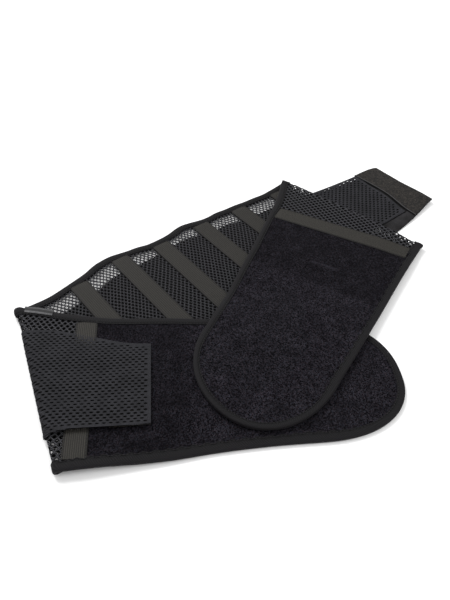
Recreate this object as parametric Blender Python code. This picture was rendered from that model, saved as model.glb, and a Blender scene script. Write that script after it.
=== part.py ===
"""Mesh lumbar belt laid down folded: back panel flat, both front panels turned over it, pulls loose."""

import math

import bmesh
import bpy
import numpy as np

for old in list(bpy.data.objects):
    bpy.data.objects.remove(old, do_unlink=True)

# The belt laid out flat: s runs along it from the middle of the back, t down from its top edge
BELT_HALF = 0.5900
BELT_HEIGHT = 0.2130
SEAM_PLACE = 0.2750
SEAM_GAP = 0.0003
TIP_LENGTH = 0.0900
TIP_ROUNDING_UP = 2.0
TIP_ROUNDING_LOW = 2.2
TIP_NOSE_DOWN = 0.0075
TIP_START = BELT_HALF - TIP_LENGTH

# Thicknesses and heights in the layers of the back, counted up from the floor
BAND_THICK = 0.0012
MESH_LOW = 0.0015
MESH_HIGH = 0.0035
PANEL_LOW = 0.0010
BINDING_WIDE = 0.0120
BINDING_THICK = 0.0007
BINDING_GAP = 0.0004
EDGE_INSIDE = 0.0022
TAPE_WIDE = 0.0227
TAPE_THICK = 0.0012
TAPE_GAP = 0.0003
SEAM_TAPE_THICK = 0.0008
LABEL_THICK = 0.0004
RIPPLE = 0.0014

# The two turned ends
FOLD_AXIS = 0.0056
LEFT_FOLD_PLACE = -0.1861
LEFT_FOLD_LEAN = math.radians(16.3)
RIGHT_FOLD_PLACE = 0.1955
RIGHT_FOLD_LEAN = math.radians(12.3)
SETTLED = 0.0066
SETTLE_RUN = 0.0700
ON_FLOOR = 0.0013
DRAPE_RUN = 0.0700
LEFT_LAYER = 0.0055
CLIMB_RUN = 0.0500

# The pulls: the elastic band under the back, its ends and their fastening
BAND_OUTWARD = 0.0020
BAND_EASE = 0.0180
BACKING_THICK = 0.0010
BACKING_START = 0.0085
BACKING_RISE = 0.0013
PULL_SEAM_PLACE = 0.2895
PULL_END_PLACE = 0.3305
PULL_LIFT = 0.0040
PIPING_WIDE = 0.0018
PIPING_TALL = 0.0019
HOOK_THICK = 0.0012
LEFT_HOOK_LONG = 0.0380
LEFT_HOOK_THICK = 0.0010
BAND_LEFT_END = -0.3425

# How the belt lies on the floor
LAY_TURN = math.radians(37.29)

# Columns: place along the belt as a share of BELT_HALF, top edge and lower edge as shares of BELT_HEIGHT
OUTLINE = (
    (-0.848, 0.280, 0.988),
    (-0.760, 0.262, 0.987),
    (-0.676, 0.239, 0.998),
    (-0.609, 0.218, 1.024),
    (-0.498, 0.192, 1.045),
    (-0.434, 0.150, 1.055),
    (-0.330, 0.084, 1.058),
    (-0.264, 0.085, 1.052),
    (-0.229, 0.066, 1.048),
    (-0.181, 0.033, 1.042),
    (-0.147, 0.005, 1.038),
    (-0.124, -0.009, 1.035),
    (-0.090, 0.003, 1.032),
    (-0.055, 0.018, 1.028),
    (0.020, 0.019, 1.022),
    (0.063, -0.004, 1.018),
    (0.104, 0.023, 1.012),
    (0.195, 0.023, 1.005),
    (0.260, 0.041, 1.000),
    (0.300, 0.028, 0.998),
    (0.345, 0.014, 0.996),
    (0.408, 0.056, 0.986),
    (0.539, 0.117, 0.966),
    (0.675, 0.169, 0.953),
    (0.783, 0.211, 0.940),
    (0.848, 0.228, 0.931),
)

# Columns: place of the middle of each stay tape as a share of BELT_HALF
STAYS = (-0.2065, -0.1035, -0.0125, 0.0925, 0.1925, 0.3005)

# Columns: place as a share of BELT_HALF, upper and lower edge of the band as shares of BELT_HEIGHT
BAND = (
    (-0.579, 0.390, 0.869),
    (-0.539, 0.376, 0.873),
    (-0.485, 0.329, 0.873),
    (-0.448, 0.296, 0.876),
    (-0.412, 0.268, 0.895),
    (-0.358, 0.254, 0.908),
    (-0.242, 0.216, 0.914),
    (-0.186, 0.183, 0.915),
    (-0.127, 0.131, 0.912),
    (-0.032, 0.113, 0.904),
    (0.019, 0.103, 0.900),
    (0.117, 0.136, 0.885),
    (0.220, 0.169, 0.850),
    (0.300, 0.180, 0.780),
    (0.379, 0.207, 0.700),
    (0.440, 0.226, 0.695),
    (0.4895, 0.263, 0.695),
)

# Columns: place as a share of BELT_HALF, upper and lower edge of the pull's plain backing as shares of BELT_HEIGHT
BACKING = (
    (0.360, 0.206, 0.812),
    (0.420, 0.212, 0.795),
    (0.480, 0.220, 0.768),
    (0.512, 0.225, 0.748),
    (0.5588, 0.246, 0.718),
)

# The label's corner nearest the fold, its length and width, and its turn from the belt's length
LABEL_PLACE = -0.1865
LABEL_DOWN = 0.0150
LABEL_LONG = 0.0330
LABEL_WIDE = 0.0140
LABEL_TURN = math.radians(42.0)


def smooth(x):
    x = min(1.0, max(0.0, x))
    return x * x * (3.0 - 2.0 * x)


def read_rows(rows, place, column):
    """The value of a column at a place, through the rows on one smooth curve."""
    at = np.array([row[0] for row in rows])
    value = np.array([row[column] for row in rows])
    slope = np.gradient(value, at)
    x = min(at[-1], max(at[0], place))
    i = min(len(at) - 2, max(0, int(np.searchsorted(at, x)) - 1))
    span = at[i + 1] - at[i]
    k = (x - at[i]) / span
    bow = k * (1.0 - k) * span
    line = value[i] + (value[i + 1] - value[i]) * k
    chord = (value[i + 1] - value[i]) / span
    return float(line + bow * ((1.0 - k) * (slope[i] - chord) - k * (slope[i + 1] - chord)))


def edge_top(s):
    return read_rows(OUTLINE, s / BELT_HALF, 1) * BELT_HEIGHT


def edge_low(s):
    return read_rows(OUTLINE, s / BELT_HALF, 2) * BELT_HEIGHT


def fold_place(side, t):
    """Where the fold line crosses the height t, and how it leans there."""
    if side < 0:
        return LEFT_FOLD_PLACE - math.tan(LEFT_FOLD_LEAN) * t
    return RIGHT_FOLD_PLACE + math.tan(RIGHT_FOLD_LEAN) * t


def past_fold(s, t):
    """The side of the nearer fold, the distance past its line, the distance down it and its two directions."""
    side = -1.0 if s < 0 else 1.0
    foot = LEFT_FOLD_PLACE if s < 0 else RIGHT_FOLD_PLACE
    lean = LEFT_FOLD_LEAN if s < 0 else RIGHT_FOLD_LEAN
    down = (side * math.sin(lean), math.cos(lean))
    out = (side * math.cos(lean), -math.sin(lean))
    beyond = (s - foot) * out[0] + t * out[1]
    along = (s - foot) * down[0] + t * down[1]
    return side, foot, beyond, along, down, out


FOLD_BEND = FOLD_AXIS - 0.5 * (MESH_LOW + MESH_HIGH)
FOLD_LONG = math.pi * FOLD_BEND
OVER_FOLD = 2.0 * FOLD_AXIS - MESH_HIGH


def ripple(s, t):
    """How far the back stands up between two stay tapes, near its top edge."""
    places = [share * BELT_HALF for share in STAYS]
    for left, right in zip(places, places[1:]):
        low = left + 0.5 * TAPE_WIDE
        high = right - 0.5 * TAPE_WIDE
        if low < s < high:
            across = (s - low) / (high - low)
            return RIPPLE * math.sin(math.pi * across) ** 2 * (1.0 - smooth(t / 0.14))
    return 0.0


def left_bed(s, t):
    """Height of the inner face of the left front panel over the back, and on the floor beyond it."""
    return SETTLED - (SETTLED - ON_FLOOR) * smooth((t - edge_low(s)) / DRAPE_RUN)


def left_panel_share(s, t):
    """How far a point in the back's plane lies on the left front panel: one on it, none well outside."""
    down = (-math.sin(LEFT_FOLD_LEAN), math.cos(LEFT_FOLD_LEAN))
    out = (-math.cos(LEFT_FOLD_LEAN), -math.sin(LEFT_FOLD_LEAN))
    beyond = (s - LEFT_FOLD_PLACE) * out[0] + t * out[1]
    along = (s - LEFT_FOLD_PLACE) * down[0] + t * down[1]
    p = LEFT_FOLD_PLACE + (FOLD_LONG - beyond) * out[0] + along * down[0]
    q = (FOLD_LONG - beyond) * out[1] + along * down[1]
    middle = 0.5 * (edge_top(max(p, -TIP_START)) + edge_low(max(p, -TIP_START)))
    half = 0.5 * (edge_low(max(p, -TIP_START)) - edge_top(max(p, -TIP_START)))
    along_tip = max(0.0, -p - TIP_START)
    away = math.hypot(max(0.0, abs(q - middle) - half + 0.25 * along_tip), max(0.0, along_tip - TIP_LENGTH))
    return 1.0 - smooth(away / CLIMB_RUN)


def right_bed(s, t):
    """Height of the inner face of the right front panel: over the back, over the left panel, or over both."""
    return max(SETTLED, left_bed(s, t) + LEFT_LAYER * left_panel_share(s, t))


def lay(s, t, h, left=True, right=True, outward=0.0):
    """A point of the flat belt, h up in its layers, to its place on the floor."""
    side, foot, beyond, along, down, out = past_fold(s, t)
    turned = left if side < 0 else right
    if beyond <= 0.0:
        z = h + ripple(s, t)
    elif not turned:
        lift = PULL_LIFT * smooth((s - 0.24) / (PULL_END_PLACE - 0.24))
        z = h + lift
    else:
        h -= outward * smooth(beyond / BAND_EASE)
        turn = beyond / FOLD_BEND
        if turn < math.pi:
            reach = (FOLD_AXIS - h) * math.sin(turn)
            z = FOLD_AXIS - (FOLD_AXIS - h) * math.cos(turn)
        else:
            reach = FOLD_LONG - beyond
            z = None
        s = foot + reach * out[0] + along * down[0]
        t = reach * out[1] + along * down[1]
        if z is None:
            bed = left_bed(s, t) if side < 0 else right_bed(s, t)
            bed += (OVER_FOLD - bed) * (1.0 - smooth(-reach / SETTLE_RUN))
            z = bed + MESH_HIGH - h
    x = s * math.cos(LAY_TURN) + t * math.sin(LAY_TURN)
    y = s * math.sin(LAY_TURN) - t * math.cos(LAY_TURN)
    return (x, y, z)


# Cuts across the belt: each is the place where it crosses the top edge and the lower edge
def on_fold_line(side, beyond):
    """The cut that runs beside a fold line at a distance past it."""
    lean = LEFT_FOLD_LEAN if side < 0 else RIGHT_FOLD_LEAN
    shift = side * beyond / math.cos(lean)
    top = fold_place(side, 0.02) + shift
    low = fold_place(side, BELT_HEIGHT) + shift
    for _ in range(6):
        top = fold_place(side, edge_top(top)) + shift
        low = fold_place(side, edge_low(low)) + shift
    return (top, low)


def between(a, b, share):
    return (a[0] + (b[0] - a[0]) * share, a[1] + (b[1] - a[1]) * share)


def turned_cuts(side):
    """Cuts from just before a fold to the seam of the front panel."""
    bend = [on_fold_line(side, FOLD_LONG * k / 6.0) for k in range(7)]
    seam = (side * (SEAM_PLACE - SEAM_GAP), side * (SEAM_PLACE - SEAM_GAP))
    rest = [between(bend[-1], seam, share) for share in (0.33, 0.66, 1.0)]
    return bend + rest


def back_cuts():
    """Cuts between the folds: both edges of each stay tape, and the middle of each gap."""
    left = on_fold_line(-1.0, 0.0)
    right = on_fold_line(1.0, 0.0)
    edges = []
    for share in STAYS:
        edges += [share * BELT_HALF - 0.5 * TAPE_WIDE, share * BELT_HALF + 0.5 * TAPE_WIDE]
    inner = []
    for k, s in enumerate(edges):
        inner.append((s, s))
        if k % 2 and k + 1 < len(edges):
            for share in (0.25, 0.5, 0.75):
                m = s + (edges[k + 1] - s) * share
                inner.append((m, m))
    first = [between(left, inner[0], share) for share in (0.33, 0.66)]
    last = [between(inner[-1], right, 0.5)]
    return first + inner + last


ALL_CUTS = turned_cuts(-1.0)[::-1] + back_cuts() + turned_cuts(1.0)


def cut_points(cut, top, low, columns):
    """Points down a cut. A column is a share of the cut and a length added to it."""
    a = np.array((cut[0], top))
    b = np.array((cut[1], low))
    long = float(np.linalg.norm(b - a))
    way = (b - a) / long
    level = abs(way[1])
    return [a + way * (long * share + more / level) for share, more in columns]


def new_piece(name, points, faces, material):
    mesh = bpy.data.meshes.new(name)
    mesh.from_pydata([tuple(map(float, p)) for p in points], [], faces)
    mesh.update()
    work = bmesh.new()
    work.from_mesh(mesh)
    bmesh.ops.recalc_face_normals(work, faces=work.faces)
    if work.calc_volume(signed=True) < 0.0:
        bmesh.ops.reverse_faces(work, faces=work.faces)
    work.to_mesh(mesh)
    work.free()
    mesh.materials.append(material)
    mesh.shade_smooth()
    mesh.set_sharp_from_angle(angle=math.radians(40.0))
    piece = bpy.data.objects.new(name, mesh)
    bpy.context.scene.collection.objects.link(piece)
    return piece


def cloth(name, low, high, material):
    """A closed sheet between two grids of points, one row of points for each cut."""
    rows = len(low)
    wide = len(low[0])
    count = rows * wide
    points = [p for row in low for p in row] + [p for row in high for p in row]
    faces = []
    for i in range(rows - 1):
        for j in range(wide - 1):
            a = i * wide + j
            quad = (a, a + 1, a + wide + 1, a + wide)
            faces.append(quad)
            faces.append(tuple(count + v for v in quad[::-1]))
    rim = [i * wide for i in range(rows)]
    rim += [(rows - 1) * wide + j for j in range(1, wide)]
    rim += [i * wide + wide - 1 for i in range(rows - 2, -1, -1)]
    rim += [j for j in range(wide - 2, 0, -1)]
    for a, b in zip(rim, rim[1:] + rim[:1]):
        faces.append((a, b, count + b, count + a))
    return new_piece(name, points, faces, material)


def channel(name, rings, material):
    """A folded tape: eight points a ring, swept along the edge and closed at both ends."""
    points = [p for ring in rings for p in ring]
    faces = []
    for i in range(len(rings) - 1):
        for j in range(8):
            a = i * 8 + j
            b = i * 8 + (j + 1) % 8
            faces.append((a, b, b + 8, a + 8))
    for start in (0, (len(rings) - 1) * 8):
        for quad in ((0, 1, 2, 3), (0, 3, 4, 7), (4, 5, 6, 7)):
            faces.append(tuple(start + v for v in quad))
    return new_piece(name, points, faces, material)


def ring_profile(low, high):
    """Folded tape in section: distance in from the edge, and height in the layers."""
    under = low - BINDING_GAP - BINDING_THICK
    over = high + BINDING_GAP + BINDING_THICK
    return (
        (0.0, under),
        (BINDING_WIDE, under),
        (BINDING_WIDE, under + BINDING_THICK),
        (BINDING_THICK, under + BINDING_THICK),
        (BINDING_THICK, over - BINDING_THICK),
        (BINDING_WIDE, over - BINDING_THICK),
        (BINDING_WIDE, over),
        (0.0, over),
    )


def fabric(name, colour, roughness):
    material = bpy.data.materials.new(name)
    material.use_nodes = True
    shader = material.node_tree.nodes["Principled BSDF"]
    shader.inputs["Base Color"].default_value = (*colour, 1.0)
    shader.inputs["Roughness"].default_value = roughness
    shader.inputs["Metallic"].default_value = 0.0
    return material


MESH_KNIT = fabric("mesh_knit", (0.030, 0.030, 0.032), 0.85)
ELASTIC = fabric("elastic_mesh", (0.042, 0.042, 0.045), 0.80)
LOOP_PILE = fabric("loop_pile", (0.014, 0.013, 0.015), 0.95)
RIBBED_TAPE = fabric("ribbed_tape", (0.046, 0.043, 0.038), 0.75)
BINDING_TAPE = fabric("binding_tape", (0.026, 0.024, 0.026), 0.80)
HOOK_TAPE = fabric("hook_tape", (0.024, 0.021, 0.020), 0.70)
SATIN = fabric("satin_label", (0.42, 0.42, 0.43), 0.35)

# The knitted mesh of the back, with the strip past each fold
MESH_COLUMNS = (
    (0.0, EDGE_INSIDE),
    (0.0, BINDING_WIDE),
    (0.2, 0.0),
    (0.4, 0.0),
    (0.6, 0.0),
    (0.8, 0.0),
    (1.0, -BINDING_WIDE),
    (1.0, -EDGE_INSIDE),
)
mesh_rows = [cut_points(cut, edge_top(cut[0]), edge_low(cut[1]), MESH_COLUMNS) for cut in ALL_CUTS]
cloth(
    "back_mesh",
    [[lay(s, t, MESH_LOW) for s, t in row] for row in mesh_rows],
    [[lay(s, t, MESH_HIGH) for s, t in row] for row in mesh_rows],
    MESH_KNIT,
)


# The binding of the back: one folded tape along the top edge, one along the lower edge
def back_ring(cut, from_top):
    a = np.array((cut[0], edge_top(cut[0])))
    b = np.array((cut[1], edge_low(cut[1])))
    way = (b - a) / np.linalg.norm(b - a)
    level = abs(way[1])
    edge = a if from_top else b
    way = way if from_top else -way
    return [lay(*(edge + way * d / level), h) for d, h in ring_profile(MESH_LOW, MESH_HIGH)]


channel("back_top_binding", [back_ring(cut, True) for cut in ALL_CUTS], BINDING_TAPE)
channel("back_lower_binding", [back_ring(cut, False) for cut in ALL_CUTS], BINDING_TAPE)


# The front panels: loop cloth from the seam to the round tip
def tip_edges(over, inside):
    """Upper and lower edge of the round tip, at a distance past its start, both moved in."""
    top = edge_top(side * TIP_START) + inside
    low = edge_low(side * TIP_START) - inside
    nose = 0.5 * (top + low) + TIP_NOSE_DOWN
    share = min(1.0, over / (TIP_LENGTH - inside))
    above = (1.0 - share**TIP_ROUNDING_UP) ** (1.0 / TIP_ROUNDING_UP)
    below = (1.0 - share**TIP_ROUNDING_LOW) ** (1.0 / TIP_ROUNDING_LOW)
    return nose - (nose - top) * above, nose + (low - nose) * below


TIP_STEPS = tuple(math.sin(0.5 * math.pi * k / 9.0) for k in range(1, 9)) + (0.9975,)
PANEL_STEPS = tuple(SEAM_PLACE + SEAM_GAP + (TIP_START - SEAM_PLACE - SEAM_GAP) * k / 12.0 for k in range(13))
PANEL_SHARES = (0.0, 0.08, 0.24, 0.41, 0.59, 0.76, 0.92, 1.0)

for side, name in ((-1.0, "left"), (1.0, "right")):
    rows = []
    for s in PANEL_STEPS:
        top = edge_top(side * s) + EDGE_INSIDE
        low = edge_low(side * s) - EDGE_INSIDE
        rows.append([(side * s, top + (low - top) * share) for share in PANEL_SHARES])
    for step in TIP_STEPS:
        over = step * (TIP_LENGTH - EDGE_INSIDE)
        top, low = tip_edges(over, EDGE_INSIDE)
        rows.append([(side * (TIP_START + over), top + (low - top) * share) for share in PANEL_SHARES])
    cloth(
        name + "_front_panel",
        [[lay(s, t, PANEL_LOW) for s, t in row] for row in rows],
        [[lay(s, t, MESH_HIGH) for s, t in row] for row in rows],
        LOOP_PILE,
    )
    edge = [(side * s, edge_top(side * s)) for s in PANEL_STEPS]
    edge += [(side * (TIP_START + step * TIP_LENGTH), tip_edges(step * TIP_LENGTH, 0.0)[0]) for step in TIP_STEPS]
    edge += [(side * (TIP_START + step * TIP_LENGTH), tip_edges(step * TIP_LENGTH, 0.0)[1]) for step in TIP_STEPS[::-1]]
    edge += [(side * s, edge_low(side * s)) for s in PANEL_STEPS[::-1]]
    edge = np.array(edge)
    rings = []
    for i, point in enumerate(edge):
        ahead = edge[min(len(edge) - 1, i + 1)] - edge[max(0, i - 1)]
        if i in (0, len(edge) - 1):
            ahead = np.array((side if i == 0 else -side, 0.0))
        ahead = ahead / np.linalg.norm(ahead)
        inward = side * np.array((-ahead[1], ahead[0]))
        rings.append([lay(*(point + inward * d), h) for d, h in ring_profile(PANEL_LOW, MESH_HIGH)])
    channel(name + "_panel_binding", rings, BINDING_TAPE)

# The ribbed tape over each panel's seam, on the outer face
SEAM_TAPE_HIGH = PANEL_LOW - TAPE_GAP
for side, name in ((-1.0, "left"), (1.0, "right")):
    rows = []
    for k in range(3):
        s = SEAM_PLACE + TAPE_WIDE * (0.5 * k - 0.5)
        top = edge_top(side * s) + BINDING_WIDE + TAPE_GAP
        low = edge_low(side * s) - BINDING_WIDE - TAPE_GAP
        rows.append([(side * s, top + (low - top) * j / 10.0) for j in range(11)])
    cloth(
        name + "_seam_tape",
        [[lay(s, t, SEAM_TAPE_HIGH - SEAM_TAPE_THICK) for s, t in row] for row in rows],
        [[lay(s, t, SEAM_TAPE_HIGH) for s, t in row] for row in rows],
        RIBBED_TAPE,
    )

# The stay tapes, on the inner face of the back
for number, share in enumerate(STAYS, 1):
    rows = []
    for s in (share * BELT_HALF - 0.5 * TAPE_WIDE, share * BELT_HALF + 0.5 * TAPE_WIDE):
        top = edge_top(s) + BINDING_WIDE + TAPE_GAP
        low = edge_low(s) - BINDING_WIDE - TAPE_GAP
        rows.append([(s, top + (low - top) * j / 4.0) for j in range(5)])
    cloth(
        f"stay_tape_{number}",
        [[lay(s, t, MESH_HIGH + TAPE_GAP) for s, t in row] for row in rows],
        [[lay(s, t, MESH_HIGH + TAPE_GAP + TAPE_THICK) for s, t in row] for row in rows],
        RIBBED_TAPE,
    )


# The elastic band: under the back, round the left fold on the outside, straight on past the right fold
def band_edge(s, column):
    return read_rows(BAND, s / BELT_HALF, column) * BELT_HEIGHT


def band_layer(s, t):
    """How far the band has come up onto the plain backing of the right pull."""
    side, foot, beyond, along, down, out = past_fold(s, t)
    if side < 0:
        return 0.0
    return BACKING_RISE * smooth(beyond / BACKING_START)


def band_cut(cut):
    """The same cut, kept to the band's two edges."""
    top = cut[0]
    low = cut[1]
    for _ in range(4):
        high_t = band_edge(top, 1)
        low_t = band_edge(low, 2)
        first = edge_top(cut[0])
        last = edge_low(cut[1])
        top = cut[0] + (cut[1] - cut[0]) * (high_t - first) / (last - first)
        low = cut[0] + (cut[1] - cut[0]) * (low_t - first) / (last - first)
    return (top, low)


left_bend = [on_fold_line(-1.0, FOLD_LONG * k / 8.0) for k in range(9)]
left_end = (BAND_LEFT_END, BAND_LEFT_END)
hook_start = (BAND_LEFT_END + LEFT_HOOK_LONG, BAND_LEFT_END + LEFT_HOOK_LONG)
band_cuts = [left_end, between(left_end, hook_start, 0.5), hook_start]
band_cuts += [between(hook_start, left_bend[-1], share) for share in (0.25, 0.5, 0.75)]
band_cuts += left_bend[::-1]
band_cuts += back_cuts()
band_cuts += [on_fold_line(1.0, beyond) for beyond in (0.0, 0.003, 0.006, BACKING_START)]
pull_seam = (PULL_SEAM_PLACE, PULL_SEAM_PLACE)
band_cuts += [between(band_cuts[-1], pull_seam, share) for share in (0.33, 0.66, 1.0)]
BAND_COLUMNS = tuple((j / 5.0, 0.0) for j in range(6))
band_rows = []
for cut in band_cuts:
    top, low = band_cut(cut)
    band_rows.append(cut_points((top, low), band_edge(top, 1), band_edge(low, 2), BAND_COLUMNS))


def lay_band(s, t, h):
    return lay(s, t, h + band_layer(s, t), right=False, outward=BAND_OUTWARD)


cloth(
    "tension_band",
    [[lay_band(s, t, 0.0) for s, t in row] for row in band_rows],
    [[lay_band(s, t, BAND_THICK) for s, t in row] for row in band_rows],
    ELASTIC,
)

# The hook patch under the left end of the band
LEFT_HOOK_LOW = BAND_THICK + TAPE_GAP
cloth(
    "left_hook_patch",
    [[lay_band(s, t, LEFT_HOOK_LOW) for s, t in row] for row in band_rows[:3]],
    [[lay_band(s, t, LEFT_HOOK_LOW + LEFT_HOOK_THICK) for s, t in row] for row in band_rows[:3]],
    HOOK_TAPE,
)


# The right pull: plain backing, the piped seam and the hook patch on it
def backing_edge(s, column):
    return read_rows(BACKING, s / BELT_HALF, column) * BELT_HEIGHT


def pull_rows(cuts, columns):
    rows = []
    for cut in cuts:
        rows.append(cut_points(cut, backing_edge(cut[0], 1), backing_edge(cut[1], 2), columns))
    return rows


def lay_pull(s, t, h):
    return lay(s, t, h, right=False)


first = on_fold_line(1.0, BACKING_START + 0.0005)
first = (first[0] + 0.012, first[1] - 0.008)
seam_after = (PULL_SEAM_PLACE + 2.0 * TAPE_GAP, PULL_SEAM_PLACE + 2.0 * TAPE_GAP)
patch_from = PULL_SEAM_PLACE + 2.0 * TAPE_GAP + PIPING_WIDE + TAPE_GAP
end = (PULL_END_PLACE, PULL_END_PLACE)
PULL_COLUMNS = tuple((j / 5.0, 0.0) for j in range(6))
backing_cuts = [first] + [between(first, seam_after, share) for share in (0.33, 0.66, 1.0)]
backing_cuts += [(patch_from, patch_from), between((patch_from, patch_from), end, 0.5), end]
rows = pull_rows(backing_cuts, PULL_COLUMNS)
cloth(
    "pull_backing",
    [[lay_pull(s, t, 0.0) for s, t in row] for row in rows],
    [[lay_pull(s, t, BACKING_THICK) for s, t in row] for row in rows],
    BINDING_TAPE,
)
ON_BACKING = BACKING_THICK + TAPE_GAP
rows = pull_rows(backing_cuts[4:], PULL_COLUMNS)
cloth(
    "right_hook_patch",
    [[lay_pull(s, t, ON_BACKING) for s, t in row] for row in rows],
    [[lay_pull(s, t, ON_BACKING + HOOK_THICK) for s, t in row] for row in rows],
    HOOK_TAPE,
)
piping_end = (seam_after[0] + PIPING_WIDE, seam_after[1] + PIPING_WIDE)
rows = pull_rows((seam_after, piping_end), PULL_COLUMNS)
cloth(
    "hook_patch_piping",
    [[lay_pull(s, t, ON_BACKING) for s, t in row] for row in rows],
    [[lay_pull(s, t, ON_BACKING + PIPING_TALL) for s, t in row] for row in rows],
    BINDING_TAPE,
)

# The blank label at the left fold, on the inner face
along = (math.cos(LABEL_TURN), math.sin(LABEL_TURN))
across = (-math.sin(LABEL_TURN), math.cos(LABEL_TURN))
label_low = MESH_HIGH + BINDING_GAP + BINDING_THICK + TAPE_GAP
rows = []
for k in range(4):
    for_row = []
    for j in range(3):
        long = LABEL_LONG * k / 3.0
        wide = LABEL_WIDE * j / 2.0
        s = LABEL_PLACE + along[0] * long + across[0] * wide
        t = LABEL_DOWN + along[1] * long + across[1] * wide
        for_row.append((s, t))
    rows.append(for_row)
cloth(
    "care_label",
    [[lay(s, t, label_low) for s, t in row] for row in rows],
    [[lay(s, t, label_low + LABEL_THICK) for s, t in row] for row in rows],
    SATIN,
)

# The whole belt, moved so that its footprint's middle is the origin
pieces = [piece for piece in bpy.data.objects if piece.type == "MESH"]
corners = np.array([vertex.co for piece in pieces for vertex in piece.data.vertices])
middle = 0.5 * (corners.min(axis=0) + corners.max(axis=0))
for piece in pieces:
    for vertex in piece.data.vertices:
        vertex.co.x -= middle[0]
        vertex.co.y -= middle[1]
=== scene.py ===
"""A mesh lumbar belt with its looks: net, slit elastic, loop cloth, ribbed tapes, bindings and thread."""

import math

import bpy
import numpy as np
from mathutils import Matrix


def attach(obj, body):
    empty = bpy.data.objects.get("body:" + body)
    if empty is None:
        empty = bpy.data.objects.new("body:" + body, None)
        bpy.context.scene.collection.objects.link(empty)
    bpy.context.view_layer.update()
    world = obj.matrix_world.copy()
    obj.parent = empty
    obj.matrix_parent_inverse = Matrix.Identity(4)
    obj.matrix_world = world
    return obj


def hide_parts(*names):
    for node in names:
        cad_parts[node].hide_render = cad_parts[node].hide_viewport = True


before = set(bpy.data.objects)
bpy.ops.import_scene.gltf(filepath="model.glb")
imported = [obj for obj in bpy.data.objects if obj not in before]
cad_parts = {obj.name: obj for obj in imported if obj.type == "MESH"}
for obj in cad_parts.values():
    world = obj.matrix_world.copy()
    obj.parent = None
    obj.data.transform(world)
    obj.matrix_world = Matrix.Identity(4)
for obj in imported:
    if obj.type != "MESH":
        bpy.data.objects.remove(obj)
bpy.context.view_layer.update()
MM = 0.001

# The camera, where the photograph was taken from
camera = bpy.data.objects.new("camera", bpy.data.cameras.new("camera"))
camera.location = (-0.02354, -0.55962, 0.5057)
camera.rotation_euler = (math.radians(46.73), 0.0, 0.0)
camera.data.lens = 39.52
camera.data.sensor_width = 36.0
camera.data.clip_start = 0.01
bpy.context.scene.collection.objects.link(camera)
bpy.context.scene.camera = camera

# The flat belt in metres, as in the source: s runs along it from the middle of the back, t down from its
# top edge, and h up through its layers
BELT_HALF = 0.5900
BELT_HEIGHT = 0.2130
SEAM_PLACE = 0.2750
TIP_LENGTH = 0.0900
TIP_START = BELT_HALF - TIP_LENGTH
TIP_ROUNDING_UP = {-1.0: 2.4, 1.0: 2.0}
TIP_ROUNDING_LOW = 2.2
TIP_NOSE_DOWN = 0.0075
TIP_NARROWS = 0.25
EDGE_INSIDE = 0.0022

# The layers
BAND_THICK = 0.0012
MESH_LOW = 0.0015
MESH_HIGH = 0.0035
PANEL_LOW = 0.0010
BINDING_WIDE = 0.0120
BINDING_THICK = 0.0007
BINDING_GAP = 0.0004
TAPE_WIDE = 0.0227
TAPE_THICK = 0.0012
TAPE_GAP = 0.0003
SEAM_TAPE_THICK = 0.0008
LABEL_THICK = 0.0004
RIPPLE = 0.0014
RIPPLE_REACH = 0.14

# The two folds, and how the cloth lies past them
FOLD_AXIS = 0.0056
FOLD_BEND = FOLD_AXIS - 0.5 * (MESH_LOW + MESH_HIGH)
FOLD_LONG = math.pi * FOLD_BEND
OVER_FOLD = 2.0 * FOLD_AXIS - MESH_HIGH
LEFT_FOLD_PLACE = -0.1861
LEFT_FOLD_LEAN = math.radians(16.3)
RIGHT_FOLD_PLACE = 0.1955
RIGHT_FOLD_LEAN = math.radians(12.3)
SETTLED = 0.0066
SETTLE_RUN = 0.0700
ON_FLOOR = 0.0013
DRAPE_RUN = 0.0700
LEFT_LAYER = 0.0055
CLIMB_RUN = 0.0500
# How far a fold bows out, and the start and run down it of the bow's rise and end
RIGHT_BOW = 0.0038
RIGHT_BOW_RISES = (0.004, 0.022)
RIGHT_BOW_ENDS = (0.080, 0.100)
LEFT_BOW = 0.0024
LEFT_BOW_ENDS = (0.022, 0.048)
# The right fold's lower end is pressed in, and flatter
PRESSED_FROM = (0.172, 0.030)
PRESSED_IN = 0.0018
PRESSED_FLATTER = 0.0026

# The elastic and its pulls
BAND_LEFT_END = -0.3425
BAND_OUTWARD = 0.0020
BAND_EASE = 0.0180
LOOSE_RUN = 0.0300
LOWER_LIFT = 0.0020
LIFT_RUN = 0.0140
BACKING_THICK = 0.0010
BACKING_START = 0.0085
BACKING_RISE = 0.0013
PULL_SEAM_PLACE = 0.2895
PULL_END_PLACE = 0.3305
PULL_LIFT = 0.0040
PULL_LIFT_FROM = 0.24
END_DRAWN = 0.0028
END_DRAWN_RUN = 0.016
END_DRAWN_ENDS = (0.095, 0.045)
PIPING_WIDE = 0.0018
PIPING_TALL = 0.0019
HOOK_THICK = 0.0012
LEFT_HOOK_LONG = 0.0380
LEFT_HOOK_THICK = 0.0010

# How the belt lies on the floor
LAY_TURN = math.radians(37.29)
MIDDLE = (0.10496518, -0.08803936)

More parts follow.
